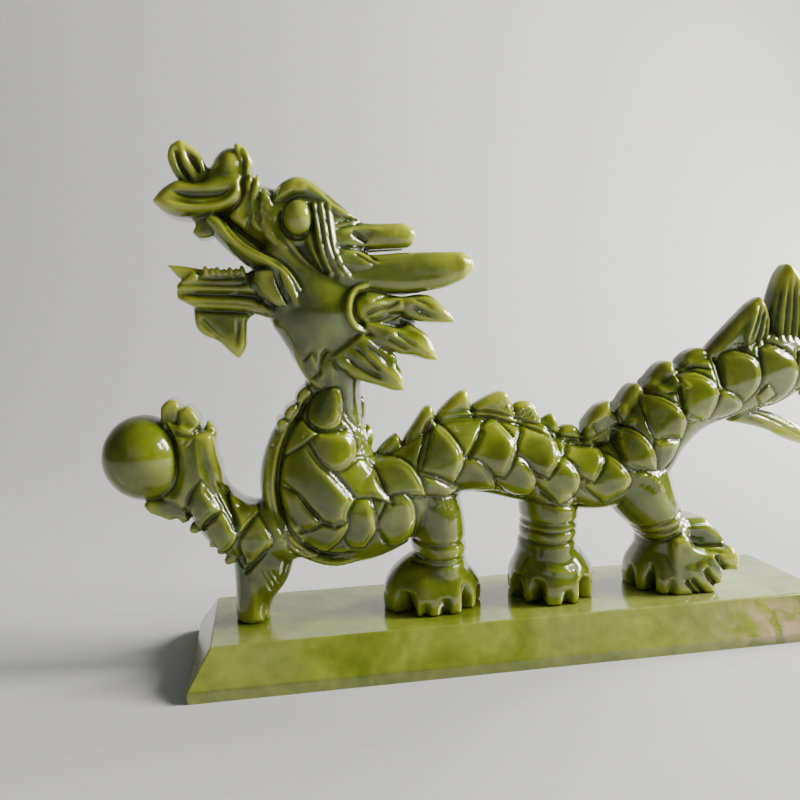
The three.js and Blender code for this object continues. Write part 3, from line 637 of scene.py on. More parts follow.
def foreleg():
    x, z, radius = PEARL
    limb(ARM, blend=1.0)
    limb(STRUT, blend=1.2)
    slab(shape(WRIST), 8.4, edge=(2.6, 4.4), blend=0.8)
    slab(shape(PALM), 7.6, edge=(1.6, 3.4), blend=0.6)
    slab(shape(THUMB), 6.8, edge=(1.6, 3.0), blend=0.5)
    lump(x, 0, z, radius, radius, radius + 0.5, blend=0.2)
    lump(x + 4.0, 0, z - 5.0, radius * 0.66, radius * 0.66, radius * 0.56, blend=2.6)
    for points, half in KNUCKLES:
        slab(shape(points), half, edge=(1.3, 2.0), blend=0.3)
    for root, tip, width in ELBOW_SPIKES:
        slab(leaf_outline(root, tip, width), 7.0, edge=(0.8, 1.6), blend=0.3)
    # the line of the pearl's seat and the creases of the wrist
    groove([(-104.4, 75), (-102.8, 71), (-101.4, 66), (-101.2, 60), (-102.4, 55.4), (-105.6, 52)], 0.9, 1.0)
    groove([(-102.2, 71.6), (-99.8, 69.8), (-97.6, 69.2), (-95.4, 70.4), (-93.4, 72.2)], 1.0, 1.0)
    twin_groove([(-98.6, 66.4), (-97.6, 67.8), (-96.4, 69.4)], 1.5, 0.5, 0.5)
    ridge([(-100.4, 72.6), (-98.4, 71.2), (-96, 70.8)], 1.6, 0.7)
    ridge([(-95.6, 68), (-95.4, 62), (-94.6, 57), (-93.2, 53)], 1.6, 0.5)
    # crossing lines of the forearm
    twin_groove([(-91.6, 56.8), (-89.4, 51), (-86.6, 45.4), (-85.2, 40.4)], 1.4, 0.6, 0.9)
    groove([(-94.4, 55.4), (-92.6, 51.8), (-89.6, 48.2)], 0.8, 0.7)
    groove([(-88.2, 53.4), (-87.7, 50), (-86, 45.4), (-84.8, 42.6)], 1.0, 1.4)
    groove([(-95.4, 56.6), (-98.2, 52.4), (-99.4, 48.6), (-98.6, 45)], 0.9, 1.0)
    groove([(-90.4, 47.2), (-93.6, 44.4), (-95.6, 41)], 1.0, 1.3)
    groove([(-79.2, 46.6), (-84, 41), (-85.2, 38.8), (-84.8, 35), (-83, 31.2)], 0.9, 1.2)
    groove([(-76.6, 37), (-80.4, 32.6), (-84.2, 28)], 1.0, 1.3)
    twin_groove([(-86.6, 36.8), (-85.2, 33), (-83.2, 29.8)], 1.3, 0.6, 0.8)
    ridge([(-86.6, 51.8), (-85.8, 50), (-85, 48.4)], 1.6, 0.5)
    # the strut is roughed out with long chisel flats
    ridge([(-82, 27), (-81.6, 20), (-82, 14)], 2.4, 0.5)
    for shift in (0, 1.5, 3.0):
        groove([(-79.6 + shift, 30), (-77.8 + shift, 26), (-76.2 + shift, 22.4)], 0.6, 0.4)


# ---------------------------------------------------------------- head

SKULL = [
    (-48, 84, 0.06), (-44.5, 97), (-43.5, 112), (-46, 127.5), (-57, 138, 0.02), (-66, 139.4, 0.15),
    (-72, 134, 0.1), (-77.2, 118, -0.05), (-75.8, 108), (-72.4, 99, 0.1), (-67.4, 90, 0.05), (-62, 80),
]


def skull():
    slab(bowed(SKULL), 10.2, edge=(6, 7), blend=1.5)
    lump(-59.5, 0, 103.5, 12.6, 12.8, 15, -15, blend=2.5)
    lump(-57, 0, 121, 12, 11.2, 13, 25, blend=2.0)


CREST = [(-95.6, 138.4, 1), (-97, 140.4), (-98.6, 143), (-99.8, 146.6), (-98.9, 149.8), (-96.2, 151.6, 1), (-94.2, 150.8),
         (-91.8, 148.8), (-90, 146), (-89.2, 143.4), (-89.6, 140.4), (-91, 138, 1)]
DISH = [(-104.2, 134.6, 1), (-102.2, 137.2), (-99.6, 139.2), (-97, 140.2), (-92, 139.6), (-86, 141.6), (-80, 141.6),
        (-78.8, 138), (-80.8, 134.2), (-84.6, 131.7), (-90, 130.4), (-96, 130.0), (-100.6, 131.4)]
NOSTRIL_FOLD = [(-81.4, 149.6), (-79.6, 149.8), (-77.4, 147.6, 1), (-76.2, 145.2, 1), (-77, 142), (-78.8, 138.4), (-82, 137, 1),
                (-81.2, 141), (-80.8, 145)]
FUR = [
    ([(-76.8, 142, 1), (-76.2, 139), (-77.8, 133.6), (-77.6, 129), (-79.2, 126, 1), (-83.4, 129.4), (-82.4, 133),
      (-80.4, 136.4), (-79, 140)], 9.3),
    ([(-75.4, 142, 1), (-74.2, 138), (-75.1, 133), (-74.8, 128.6), (-72.8, 123.4, 1), (-77.6, 126.2), (-79, 130),
      (-78.8, 134), (-77.4, 138.4)], 9.7),
    ([(-73.6, 138, 1), (-71.4, 135), (-70.8, 131), (-71.2, 127.4), (-69.2, 122.6), (-65.2, 118.4), (-60.0, 112.2, 1),
      (-67, 116), (-72.4, 121.4), (-75.6, 126), (-76.4, 131), (-75.6, 135.4)], 10.2),
]


def snout():
    limb([(-62, 126, 11.5, 10.2), (-72, 129.5, 8.6, 9.2), (-79, 133.4, 6.6, 8.4), (-85, 136, 4.2, 7.6)], blend=1.5)
    slab(shape(DISH), 8.8, edge=(3.0, 4.4), blend=0.6)
    slab(shape(CREST), 5.4, y=-0.5, edge=(1.8, 2.2), blend=0.5)
    lump(-83.0, 0, 143.2, 5.2, 8.8, 6.8, 14, blend=1.2)
    lump(-86.8, 0, 140.6, 3.6, 7.2, 3.6, 0, blend=2.0)
    slab(shape(NOSTRIL_FOLD), 7.6, edge=(1.4, 2.6), blend=0.3)
    for points, half in FUR:
        slab(shape(points), half, edge=(1.9, 4.0), blend=0.3)
    # the dish: a sunk band under the nostril, and a raised rim below it
    hollow(shape([(-99.4, 137), (-93, 137.6), (-86, 137.6), (-82.6, 138.4), (-84.2, 135.2), (-89, 133.8), (-95, 134)]),
           1.5, 1.8)
    ridge([(-103.4, 134.4), (-98.4, 132.8), (-92.4, 132.1), (-87.2, 132.6), (-83.6, 134.2), (-81.2, 136.6),
           (-80.2, 140)], 1.5, 0.9)
    groove([(-99, 134.6), (-92.6, 133.5), (-87.2, 134), (-83.8, 135.6), (-81.8, 138.4)], 0.8, 0.6)
    groove([(-86, 130.6), (-82.2, 132.2), (-79.8, 135), (-78.6, 138.6)], 0.9, 1.0)
    # the crest: two hollows with a blade between them
    hollow(shape([(-97.9, 148.6), (-97.2, 144.6), (-95.6, 141.2), (-93.4, 139.4), (-93.6, 141.4), (-95.4, 144.6),
                  (-96.2, 148)]), 1.5, 0.9)
    hollow(shape([(-94.6, 148.2), (-93.6, 144.8), (-91.2, 141.4), (-90.6, 143.4), (-91.8, 146.6)]), 1.5, 0.9)
    ridge([(-95.8, 150.6), (-95.2, 146), (-93.2, 142), (-91.6, 139.4)], 0.9, 0.6)
    groove([(-80, 149.6), (-78.9, 145.4), (-79.2, 140.6), (-80.4, 138)], 0.9, 1.0)
    ridge([(-79, 149.4), (-77.8, 145.6), (-78.4, 141)], 0.9, 0.5)
    # the upper lip, a strip with a double line along it
    limb([(-88.6, 129.4, 2.2, 8.2), (-85.8, 126.8, 2.9, 9.2), (-81.6, 122.6, 3.1, 10), (-77.2, 119.2, 3.1, 10.8),
          (-72.6, 116.8, 2.9, 11.4), (-68.4, 113.6, 2.4, 11.8), (-65.2, 109.4, 1.5, 12)], blend=0.45)
    twin_groove([(-85.6, 131), (-84, 127), (-81, 123.3), (-77.6, 120.8), (-73.6, 118.6), (-70.6, 117), (-67.6, 114),
                 (-65.6, 110.4), (-64.8, 107)], 1.4, 0.6, 0.8)
    ridge([(-86.6, 127.6), (-83.6, 123.8), (-79.6, 120.4), (-75, 118), (-70.6, 115.4)], 1.0, 0.4)
    groove([(-71.4, 130), (-69.2, 123.6), (-64.6, 117.8), (-58.4, 113)], 1.3, 1.1)
    # the lump behind the tip of the nose
    slab(shape([(-94.2, 130.6), (-93, 128.4), (-94.0, 126.2, 1), (-92.4, 124.6), (-89.8, 124.6), (-87.8, 125.6, 1),
                (-88.6, 127.2), (-86.6, 130), (-90, 132)]), 5.2, edge=(1.0, 1.8), blend=0.5)
    chipped(shape([(-80, 134), (-76, 136), (-72, 134), (-71.6, 128), (-76, 124), (-81, 129)]), 0.3, 2.6, 31)


JAW = [(-98.8, 111.6, 1), (-96.4, 113.8), (-94, 115.4), (-90, 114.8), (-84, 114.2), (-76, 114.6), (-68, 112), (-66, 101, 1),
       (-72, 101.2), (-80, 103.6), (-90, 104), (-94.2, 105.2), (-98.8, 107.8, 1)]
FANG = [(-101.4, 117.2, 1), (-97, 116.8), (-91.4, 115.8, 1), (-91.6, 112.8, 1), (-95.6, 112.4), (-98, 113.4), (-99.8, 115.4)]
BEARD = [(-94.6, 107, 1), (-94.4, 100.6), (-92.6, 97.6), (-88.4, 95.6), (-85.4, 92.6), (-82.8, 90.4, 1), (-80.6, 93.4),
         (-80.2, 98), (-79.6, 101.6), (-76, 104, 1)]
MOUTH_LOBES = [
    ([(-77, 114.8, 1), (-71.4, 115.4), (-70.4, 111), (-69, 107), (-67.3, 104.2, 1), (-72, 105.2), (-75.6, 108.4),
      (-77.6, 112)], 11.4),
    ([(-71.6, 115.6, 1), (-69, 115.9), (-66.4, 112.2), (-65.2, 107.6), (-63.8, 104.2, 1), (-67, 104.6), (-69.2, 107.5),
      (-70.6, 111)], 11.9),
]


def lower_jaw():
    slab(shape(JAW), 8.2, edge=(1.6, 2.6), blend=0.5)
    slab(shape(BEARD), 6.0, edge=(1.8, 2.6), blend=0.6)
    for side in (-1, 1):
        slab(shape(FANG), 2.6, y=side * 4.6, edge=(1.0, 1.4), blend=0.3)
        for i, (x, z) in enumerate(((-90.6, 114.9), (-88.9, 114.8), (-87.3, 114.6), (-85.6, 114.5), (-83.9, 114.5),
                                    (-82.2, 114.6), (-80.6, 114.8))):
            lump(x, side * 7.2, z, 0.85, 1.3, 1.9 - 0.5 * (i % 2), -12, blend=0.15)
    limb([(-80, 110, 4, 8.4), (-74, 111.5, 4.6, 9.8), (-68, 106, 6, 10.8)], blend=1.0)
    groove([(-99.4, 109), (-92, 108.7), (-84, 108.4), (-78.4, 108), (-75.6, 106.4)], 1.5, 1.9, ends=0.02)
    groove([(-98.6, 111.4), (-92, 111.5), (-84, 111.1), (-79.2, 111.4)], 0.8, 0.8, ends=0.05)
    groove([(-93.4, 113.2), (-88, 112.9), (-80, 113)], 0.9, 0.9, ends=0.05)
    groove([(-95, 104.6), (-88, 104.2), (-80, 103.4), (-73, 102.6)], 1.2, 1.2)
    groove([(-97, 106.8), (-90, 106.3), (-82, 105.8), (-76, 104.4)], 0.7, 0.5)
    groove([(-93.6, 116.4), (-92.6, 114.4), (-91.4, 112.6)], 0.8, 0.9)
    for shift, depth in ((0, 1.1), (1.5, 0.8)):
        groove([(-78.9 + shift, 115), (-78.4 + shift, 110.8), (-76 + shift, 107), (-72.4 + shift, 104)], 0.8, depth)
    twin_groove([(-93, 102.4), (-90.4, 99.4), (-87, 96)], 1.1, 0.6, 0.7)
    groove([(-82.6, 102), (-82.8, 98), (-83.2, 93.6)], 0.9, 0.8)
    for points, half in MOUTH_LOBES:
        slab(shape(points), half, edge=(1.4, 1.6), blend=0.25)
    twin_groove([(-71.6, 115), (-70.4, 110.8), (-67.6, 104.6)], 1.2, 0.6, 0.8)


BROW = [(-72, 133.4, 1), (-70.2, 137.8), (-67.6, 140), (-64.4, 140.9), (-60.6, 139.8), (-57, 136.8), (-53, 133.4),
        (-47.2, 128.6, 1), (-53.6, 128.8), (-57.4, 131.6), (-60.4, 134), (-64.6, 134.9), (-68.6, 133.8)]
EYE_FOLDS = [
    ([(-60.4, 133.8), (-59.7, 128), (-59.1, 122), (-57.7, 117), (-55.5, 112.8)], 1.0, 1.2),
    ([(-58.4, 134.2), (-57.7, 128), (-56.9, 121.2), (-55.1, 116.4), (-52.6, 112.2)], 1.0, 1.2),
    ([(-56.4, 133.6), (-56.0, 127.6), (-55.2, 121), (-53.3, 115.8), (-50.6, 112)], 0.9, 1.0),
]


def eyes():
    for side in (-1, 1):
        lump(-65.8, side * 13.2, 128.2, 6.0, 5.4, 6.4, blend=0.6, carve=True)
        lump(-64.7, side * 9.4, 129.4, 4.3, 4.4, 4.9, blend=0.1)
    slab(shape(BROW), 10.6, edge=(2.4, 4.0), blend=0.4)
    for points, width, height in EYE_FOLDS:
        ridge(points, width, height, ends=0.06)
    hollow(shape([(-69.4, 125.4), (-66, 123.4), (-62.4, 123.8), (-60.8, 120.6), (-58.6, 116), (-56.6, 112.8),
                  (-60, 114), (-64.8, 118.4)]), 2.2, 1.6)
    groove([(-61.4, 133.8), (-60.8, 128), (-60.2, 122), (-58.8, 117), (-56.8, 113.2)], 1.0, 1.5, ends=0.05)
    groove([(-69, 131.6), (-69.4, 128), (-68.2, 125), (-65.6, 123.4), (-62, 124)], 1.2, 1.6, ends=0.1)
    ridge([(-68.6, 135.8), (-66, 137.2), (-64.4, 136.9), (-61.8, 138.2)], 1.1, 0.5)
    groove([(-57.4, 136.4), (-55, 133.6), (-51.6, 131.6)], 0.7, 0.5)


UPPER_HORN = [(-57, 130, 1), (-50, 129.4), (-46.6, 128), (-40, 127.8), (-35, 128.1, 1), (-32.4, 127), (-31, 125),
              (-31.6, 122.6), (-33.4, 121, 1), (-40, 120.7), (-50, 120.2), (-57, 119, 1)]
LOWER_HORN = [(-56, 121, 1), (-46, 119), (-35, 119.4), (-20, 119.6), (-17, 119.3, 1), (-14.4, 117.4, 1), (-13.9, 114.4, 1),
              (-16.6, 111.6, 1), (-22, 109.4), (-27, 108.5), (-35, 107.9), (-46, 108.6), (-56, 110, 1)]
HORN_ROOT = [(-55.6, 117, 1), (-53.4, 120), (-50, 120.6), (-46, 118.8), (-41.6, 116.2, 1), (-45, 115), (-50, 114.6)]


def horns():
    """Two pairs, split down the middle by a saw cut."""
    for side in (-1, 1):
        slab(shape(UPPER_HORN), 4.0, y=side * 5.4, edge=(2.6, 2.8), blend=0.8)
        slab(shape(LOWER_HORN), 5.0, y=side * 5.9, edge=(3.4, 3.4), blend=0.8)
        slab(shape(HORN_ROOT), 2.0, y=side * 9.4, edge=(1.2, 1.4), blend=0.3)
    cut, x, y, z = jade.window((-44, -8, 100), (-5, 8, 135))
    gap = np.maximum(np.abs(y) - 1.1, np.maximum(-42 - x, np.maximum(105 - z, z - 134)))
    jade.carve(cut, gap, 0.4)
    twin_groove([(-49.4, 119.8), (-46.4, 118.2), (-42.8, 116)], 1.2, 0.6, 0.8)
    twin_groove([(-54.6, 126.8), (-51, 127.6), (-46.8, 128.6)], 1.6, 0.7, 0.9)
    groove([(-50, 125.4), (-47.6, 123.8), (-45.4, 122.2)], 1.1, 1.1)
    ridge([(-54, 124.4), (-50, 126), (-46, 126.2), (-40, 126)], 1.3, 0.4)
    groove([(-55, 121.2), (-49, 120.6), (-42, 120.2)], 1.0, 1.2)
    # long flats on the lower horn and the bevel at its tip
    ridge([(-38, 115), (-30, 115.2), (-20, 115.4)], 2.6, 0.35)
    ridge([(-19.4, 119), (-17.4, 115), (-18.4, 111.4)], 1.6, 0.35)
    ridge([(-36, 124.6), (-40, 124.2), (-45, 124.6)], 1.8, 0.3)


MANE = [
    ([(-47, 109, 1), (-42, 108), (-36, 106.9), (-30, 107.4), (-26.8, 106.6), (-23.8, 104), (-20.8, 100.6),
      (-20.2, 99, 1), (-23, 98.9), (-28, 99.4), (-31.4, 99.8), (-36, 101.6, 1), (-47, 97, 1)], 4.4),
    ([(-48, 102, 1), (-38, 98), (-34, 98.8), (-30.2, 96.8), (-28.4, 95), (-27, 92.4), (-25.8, 88.2, 1), (-29, 88.5),
      (-33, 89.8), (-36.6, 90.3), (-41, 91.8), (-47, 94, 1)], 4.8),
    ([(-48, 97, 1), (-44.6, 94.8), (-40.8, 92), (-38.2, 90), (-37.6, 87.2), (-36.4, 85), (-35.7, 79.8, 1), (-39, 79.7),
      (-43, 81.2), (-48, 83), (-52, 84.8), (-56, 87), (-57.4, 90.6, 1)], 5.2),
]
TUFTS = [
    ([(-68, 95, 1), (-66.6, 89), (-63.4, 83.4), (-59.4, 79.8, 1), (-58.4, 82), (-59.6, 86), (-60, 91.4, 1)], 8.8),
    ([(-59.6, 92, 1), (-59.4, 86), (-58.4, 80), (-56, 78.8, 1), (-55, 82), (-55.2, 87), (-56.4, 91, 1)], 8.4),
]


def mane():
    for points, half in MANE:
        for side in (-1, 1):
            slab(shape(points), half, y=side * 6.0, edge=(1.6, 2.4), blend=0.4)
    for points, half in TUFTS:
        slab(shape(points), half, edge=(1.3, 2.0), blend=0.4)
    limb([(-52, 104, 9, 9.4), (-43, 101.6, 7, 8.6), (-35, 99, 4, 6.6)], blend=1.5)
    # the ear: a curled rim round a hollow
    sided([(-46.4, 110.2, 0.8, 1.6, 9.6), (-50, 108.4, 1.0, 2.0, 10.4), (-51.6, 105, 1.0, 2.2, 10.8),
           (-51.4, 101.4, 1.0, 2.2, 10.6), (-49.6, 98.6, 0.9, 2.0, 10.2), (-46.4, 97.2, 0.7, 1.6, 9.6)], blend=0.5)
    groove([(-47.4, 109), (-49.6, 106.8), (-49.9, 103), (-48.8, 100.2), (-46.6, 98.6)], 1.2, 1.6, ends=0.1)
    lump(-45.4, -9.0, 104.2, 4.6, 3.0, 3.8, blend=1.2)
    lump(-45.4, 9.0, 104.2, 4.6, 3.0, 3.8, blend=1.2)
    ridge([(-48, 104.8), (-44, 105.2), (-39, 104.4), (-35, 105)], 2.6, 1.0)
    groove([(-46.6, 104.8), (-41, 106.6), (-35, 107.1), (-28.4, 107)], 0.7, 0.7)
    groove([(-47.6, 101.4), (-44, 103.4), (-40, 104.2), (-36.4, 105.8)], 0.9, 1.0)
    groove([(-47.4, 100), (-42.6, 100.6), (-38.4, 102), (-35, 101.8)], 1.0, 1.1)
    # flats and cuts on the leaves
    ridge([(-36.6, 104.6), (-30, 104.4), (-25.6, 102.4), (-21.4, 99.8)], 2.6, 1.0)
    groove([(-34, 104.6), (-29.6, 102), (-25.6, 100.4)], 0.8, 0.8)
    groove([(-33, 106.2), (-29.6, 104.6), (-26.6, 103)], 0.7, 0.5)
    ridge([(-42, 97), (-36, 94.6), (-31, 92), (-27, 89)], 2.6, 1.0)
    for shift in (0, 2.2):
        groove([(-41 + shift, 95.6 + 0.5 * shift), (-38 + shift, 93.8 + 0.4 * shift), (-34.4 + shift, 91.6 + 0.4 * shift)],
               0.8, 0.8)
    ridge([(-50, 92), (-44, 87.6), (-40, 84.4), (-36.6, 80.6)], 2.6, 1.0)
    groove([(-53.4, 91), (-50, 87.8), (-46, 85.2), (-42, 83.6)], 0.9, 0.9)
    groove([(-50.6, 93), (-46.4, 89.2), (-42.8, 85.8)], 0.8, 0.8)
    groove([(-47.6, 93.6), (-43.6, 90.6), (-40, 87)], 0.7, 0.6)
    for points, seed in (([(-37.4, 101), (-32, 97.2), (-29.8, 97.4), (-33, 100.4)], 41),
                         ([(-46.6, 95.6), (-41.6, 93), (-37.2, 88.4), (-36.4, 84), (-39.6, 86.6), (-44, 91.4)], 42),
                         ([(-50.4, 101.2), (-47.6, 98.4), (-45, 96.8), (-48.4, 97.4)], 43)):
        chipped(shape(points), 0.5, 2.0, seed)
    groove([(-50.2, 99.4), (-46.8, 97.6), (-44.8, 95.6)], 1.1, 1.2)
    groove([(-57.6, 93), (-60, 89.6), (-60.4, 84.4)], 1.0, 1.1)
    groove([(-65, 89), (-62.2, 92), (-60.8, 88)], 0.8, 0.7)
    groove([(-65.4, 88.8), (-62.6, 84.4), (-60.6, 87.4)], 0.8, 0.6)
    ridge([(-57.4, 90), (-56.8, 85), (-56.8, 80)], 1.6, 0.6)
    groove([(-56.4, 90.4), (-55.6, 87.6), (-52, 85.4)], 0.8, 0.8)


# Tail flames: outline, half thickness, y, and the fine cuts that run up each of them.
FLAMES = [
    ([(57.2, 86, 1), (57.4, 88.2), (63, 93.9), (69.2, 99.9), (72.2, 102.6), (75.4, 104.6, 1), (77.6, 101.6), (78.8, 97),
      (78.4, 92), (77.6, 84, 1), (66, 80, 1)], 4.4, -1.5),
    ([(78.8, 84, 1), (78.6, 92), (78.9, 100), (80.4, 106), (82.4, 111.4), (84.6, 114.4, 1), (87.4, 112), (89.8, 107),
      (91.2, 100), (91, 92), (89.6, 84, 1)], 5.0, -0.5),
    ([(88, 84, 1), (89.6, 96), (93, 106), (97.8, 112.6, 1), (99.6, 106), (99.8, 98), (97.6, 86, 1)], 4.6, 1.2),
    ([(95, 86, 1), (100, 94), (107, 101.6), (112.6, 104.4, 1), (111, 97), (107, 90), (101, 82, 1)], 4.2, -1.0),
    ([(96, 82, 1), (104, 88), (112, 89.4), (118.6, 87, 1), (113, 82), (106, 79), (98, 76, 1)], 4.0, 1.0),
    ([(93, 79, 1), (101, 79.6), (108, 76.4), (113.6, 71, 1), (106, 70.6), (99, 71.6), (91, 73, 1)], 4.0, -0.6),
    ([(68, 72, 1), (76, 69.6), (83, 67.4), (92, 62.4), (98.6, 57.6, 1), (92.6, 57.4), (86, 59.4), (78, 63), (66, 66, 1)],
     4.2, 0.0),
]
FLAME_CUTS = [
    [(70.4, 90), (73, 96), (75, 102.4)], [(72.6, 88.6), (74.8, 95), (76.2, 101)], [(75, 88), (76.6, 94), (77.4, 99)],
    [(80.6, 90), (81.4, 100), (83.4, 109)], [(83, 90), (84, 100), (84.9, 111)], [(85.4, 90), (86.4, 100), (86.4, 110)],
    [(87.8, 89), (88.8, 98), (88.2, 107)], [(91, 90), (93.4, 99), (96.4, 108)], [(94, 88), (96.6, 97), (98, 106)],
    [(99, 90), (104, 96.4), (109.6, 101)], [(101, 87), (106, 93), (110, 98.6)],
    [(100, 83.4), (107, 85.6), (114, 86.6)], [(98, 80), (105, 81.6), (111, 83.2)],
    [(96, 77), (103, 75.8), (109, 73)], [(70, 69.4), (78, 66.8), (86, 63), (94, 58.8)],
    [(70, 67.6), (77, 64.8), (85, 61)], [(74, 70), (82, 67), (89, 62.8)],
]


def flames():
    for points, half, y in FLAMES:
        slab(slid(shape(points), y - half / 2), half, y, edge=(2.8, 3.8), blend=0.4)
    for points in FLAME_CUTS:
        groove(slid(points, -4.5), 0.7, 0.7)
    # the flat on the near face of the first flame
    ridge(slid([(69.6, 87), (71.4, 94), (74, 102.4)], -4.5), 1.6, 0.9)
    chipped(slid(shape([(66, 92), (71.6, 90), (71, 86.6), (66, 86.4)]), -4.5), 0.4, 2.2, 51)


# ---------------------------------------------------------------- finishing the block

def noise(cell, seed):
    """Smooth random values over the block, about -1 to 1, with features about one cell wide."""
    rng = np.random.default_rng(seed)
    coarse = np.ceil((jade.count * jade.pitch) / cell).astype(int) + 4
    values = rng.uniform(-1, 1, coarse).astype(np.float32)
    for axis in range(3):
        at = np.arange(jade.count[axis]) * jade.pitch / cell + 1
        i = at.astype(int)
        f = (at - i).astype(np.float32)
        shape = [1, 1, 1]
        shape[axis] = -1
        f = f.reshape(shape)
        take = lambda k: np.take(values, i + k, axis=axis)
        weights = ((1 - f) ** 3 / 6, (3 * f**3 - 6 * f**2 + 4) / 6, (-3 * f**3 + 3 * f**2 + 3 * f + 1) / 6, f**3 / 6)
        values = sum(take(k - 1) * w for k, w in enumerate(weights))
    return values * 2.2


def even_out():
    """Brings the field back to true distances near the surface, and gives how much the surface faces sideways."""
    gx, gy, gz = np.gradient(jade.field, jade.pitch)
    steep = np.sqrt(gx * gx + gy * gy + gz * gz) + 1e-3
    close = np.abs(jade.field) < REACH - 1.0
    jade.field[close] /= np.clip(steep[close], 0.5, 1.5)
    return np.abs(gy) / steep


def cut_relief():
    facing = even_out()
    side = np.clip((facing - 0.12) / 0.4, 0, 1)
    side = side * side * (3 - 2 * side)
    relief = np.maximum(jade.incised - jade.raised - jade.crested, 0.8 - REACH)[:, None, :]
    jade.field += relief * side + jade.ringed[:, None, :]
    jade.field += 0.16 * noise(7.0, 3) + 0.05 * noise(2.6, 5)


def cut_soles():
    _, _, _, z = jade.window(jade.low, jade.low + jade.count * jade.pitch)
    jade.field = np.maximum(jade.field, (SOLE - z).astype(np.float32))


def blurred(values, radius, times=3):
    """A box blur along each axis, repeated."""
    for _ in range(times):
        for axis in range(3):
            pad = [(0, 0)] * 3
            pad[axis] = (radius + 1, radius)
            total = np.cumsum(np.pad(values, pad, mode="edge"), axis=axis, dtype=np.float64)
            n = values.shape[axis]
            upper = np.take(total, np.arange(2 * radius + 1, 2 * radius + 1 + n), axis=axis)
            lower = np.take(total, np.arange(0, n), axis=axis)
            values = ((upper - lower) / (2 * radius + 1)).astype(np.float32)
    return values


def sampled(values, points, pitch):
    """Trilinear values of a grid at points given in millimetres."""
    at = (points - jade.low) / pitch
    base = np.clip(np.floor(at).astype(int), 0, np.array(values.shape) - 2)
    f = np.clip(at - base, 0, 1)
    out = 0.0
    for dx in (0, 1):
        for dy in (0, 1):
            for dz in (0, 1):
                weight = (f[:, 0] if dx else 1 - f[:, 0]) * (f[:, 1] if dy else 1 - f[:, 1]) \
                    * (f[:, 2] if dz else 1 - f[:, 2])
                out = out + weight * values[base[:, 0] + dx, base[:, 1] + dy, base[:, 2] + dz]
    return out


def mesh_of_block(name):
    grid = openvdb.FloatGrid(FAR)
    grid.copyFromArray(np.clip(jade.field, -FAR, FAR).astype(np.float32), tolerance=0.0)
    points, _, quads = grid.convertToPolygons(isovalue=0.0)
    points = points * jade.pitch + jade.low
    mesh = bpy.data.meshes.new(name)
    mesh.vertices.add(len(points))
    mesh.vertices.foreach_set("co", (points * MM).astype(np.float32).ravel())
    mesh.loops.add(quads.size)
    mesh.loops.foreach_set("vertex_index", quads.astype(np.int32).ravel())
    mesh.polygons.add(len(quads))
    mesh.polygons.foreach_set("loop_start", np.arange(0, quads.size, 4, dtype=np.int32))
    mesh.polygons.foreach_set("loop_total", np.full(len(quads), 4, np.int32))
    mesh.update(calc_edges=True)
    mesh.validate()
    return mesh


def lightened(mesh, triangles):
    """The mesh with fewer triangles, where it is flattest."""
    carrier = bpy.data.objects.new(mesh.name, mesh)
    bpy.context.scene.collection.objects.link(carrier)
    share = min(1.0, triangles / (2.0 * len(mesh.polygons)))
    modifier = carrier.modifiers.new("lighten", "DECIMATE")
    modifier.ratio = share
    evaluated = carrier.evaluated_get(bpy.context.evaluated_depsgraph_get())
    light = bpy.data.meshes.new_from_object(evaluated)
    bpy.data.objects.remove(carrier)
    bpy.data.meshes.remove(mesh)
    return light


def vertex_places(mesh):
    co = np.zeros(len(mesh.vertices) * 3, np.float32)
    mesh.vertices.foreach_get("co", co)
    return co.reshape(-1, 3) / MM


def add_attribute(mesh, name, values):
    layer = mesh.attributes.new(name, "FLOAT", "POINT")
    layer.data.foreach_set("value", np.asarray(values, np.float32))


def carve_dragon():
    body()
    belly_steps()
    legs()
    foreleg()
    skull()
    lower_jaw()
    snout()
    mane()
    horns()
    eyes()
    fins()
    flames()
    cut_relief()
    cut_soles()


def dragon_piece():
    mesh = lightened(mesh_of_block("dragon_carving"), TRIANGLES)
    mesh.name = "dragon_carving"
    places = vertex_places(mesh)
    # smooth normals straight from the field
    gradient = [sampled(g, places, jade.pitch) for g in np.gradient(jade.field, jade.pitch)]
    normals = np.stack(gradient, 1)
    normals /= np.linalg.norm(normals, axis=1)[:, None] + 1e-9
    mesh.polygons.foreach_set("use_smooth", np.ones(len(mesh.polygons), bool))
    on_sole = places[:, 2] < SOLE + 0.3
    normals[on_sole] = np.array([0, 0, -1.0])
    mesh.normals_split_custom_set_from_vertices(normals.tolist())
    # how thin the jade is, and how sunk each place lies
    every = max(1, round(2.0 / jade.pitch))
    coarse = (jade.field[::every, ::every, ::every] < 0).astype(np.float32)
    fullness = sampled(blurred(coarse, 2), places, jade.pitch * every)
    add_attribute(mesh, "thin", np.clip(1.0 - fullness / 0.5, 0, 1))
    near = blurred(np.clip(jade.field, -3, 3), max(1, round(1.1 / jade.pitch)), 2)
    sunk = sampled(jade.field, places, jade.pitch) - sampled(near, places, jade.pitch)
    add_attribute(mesh, "sunk", np.clip(sunk / 0.5, -1, 1))
    return mesh


# ---------------------------------------------------------------- plinth

SOFTENED_ABOVE = 1.0
WORN_EDGE = 0.45


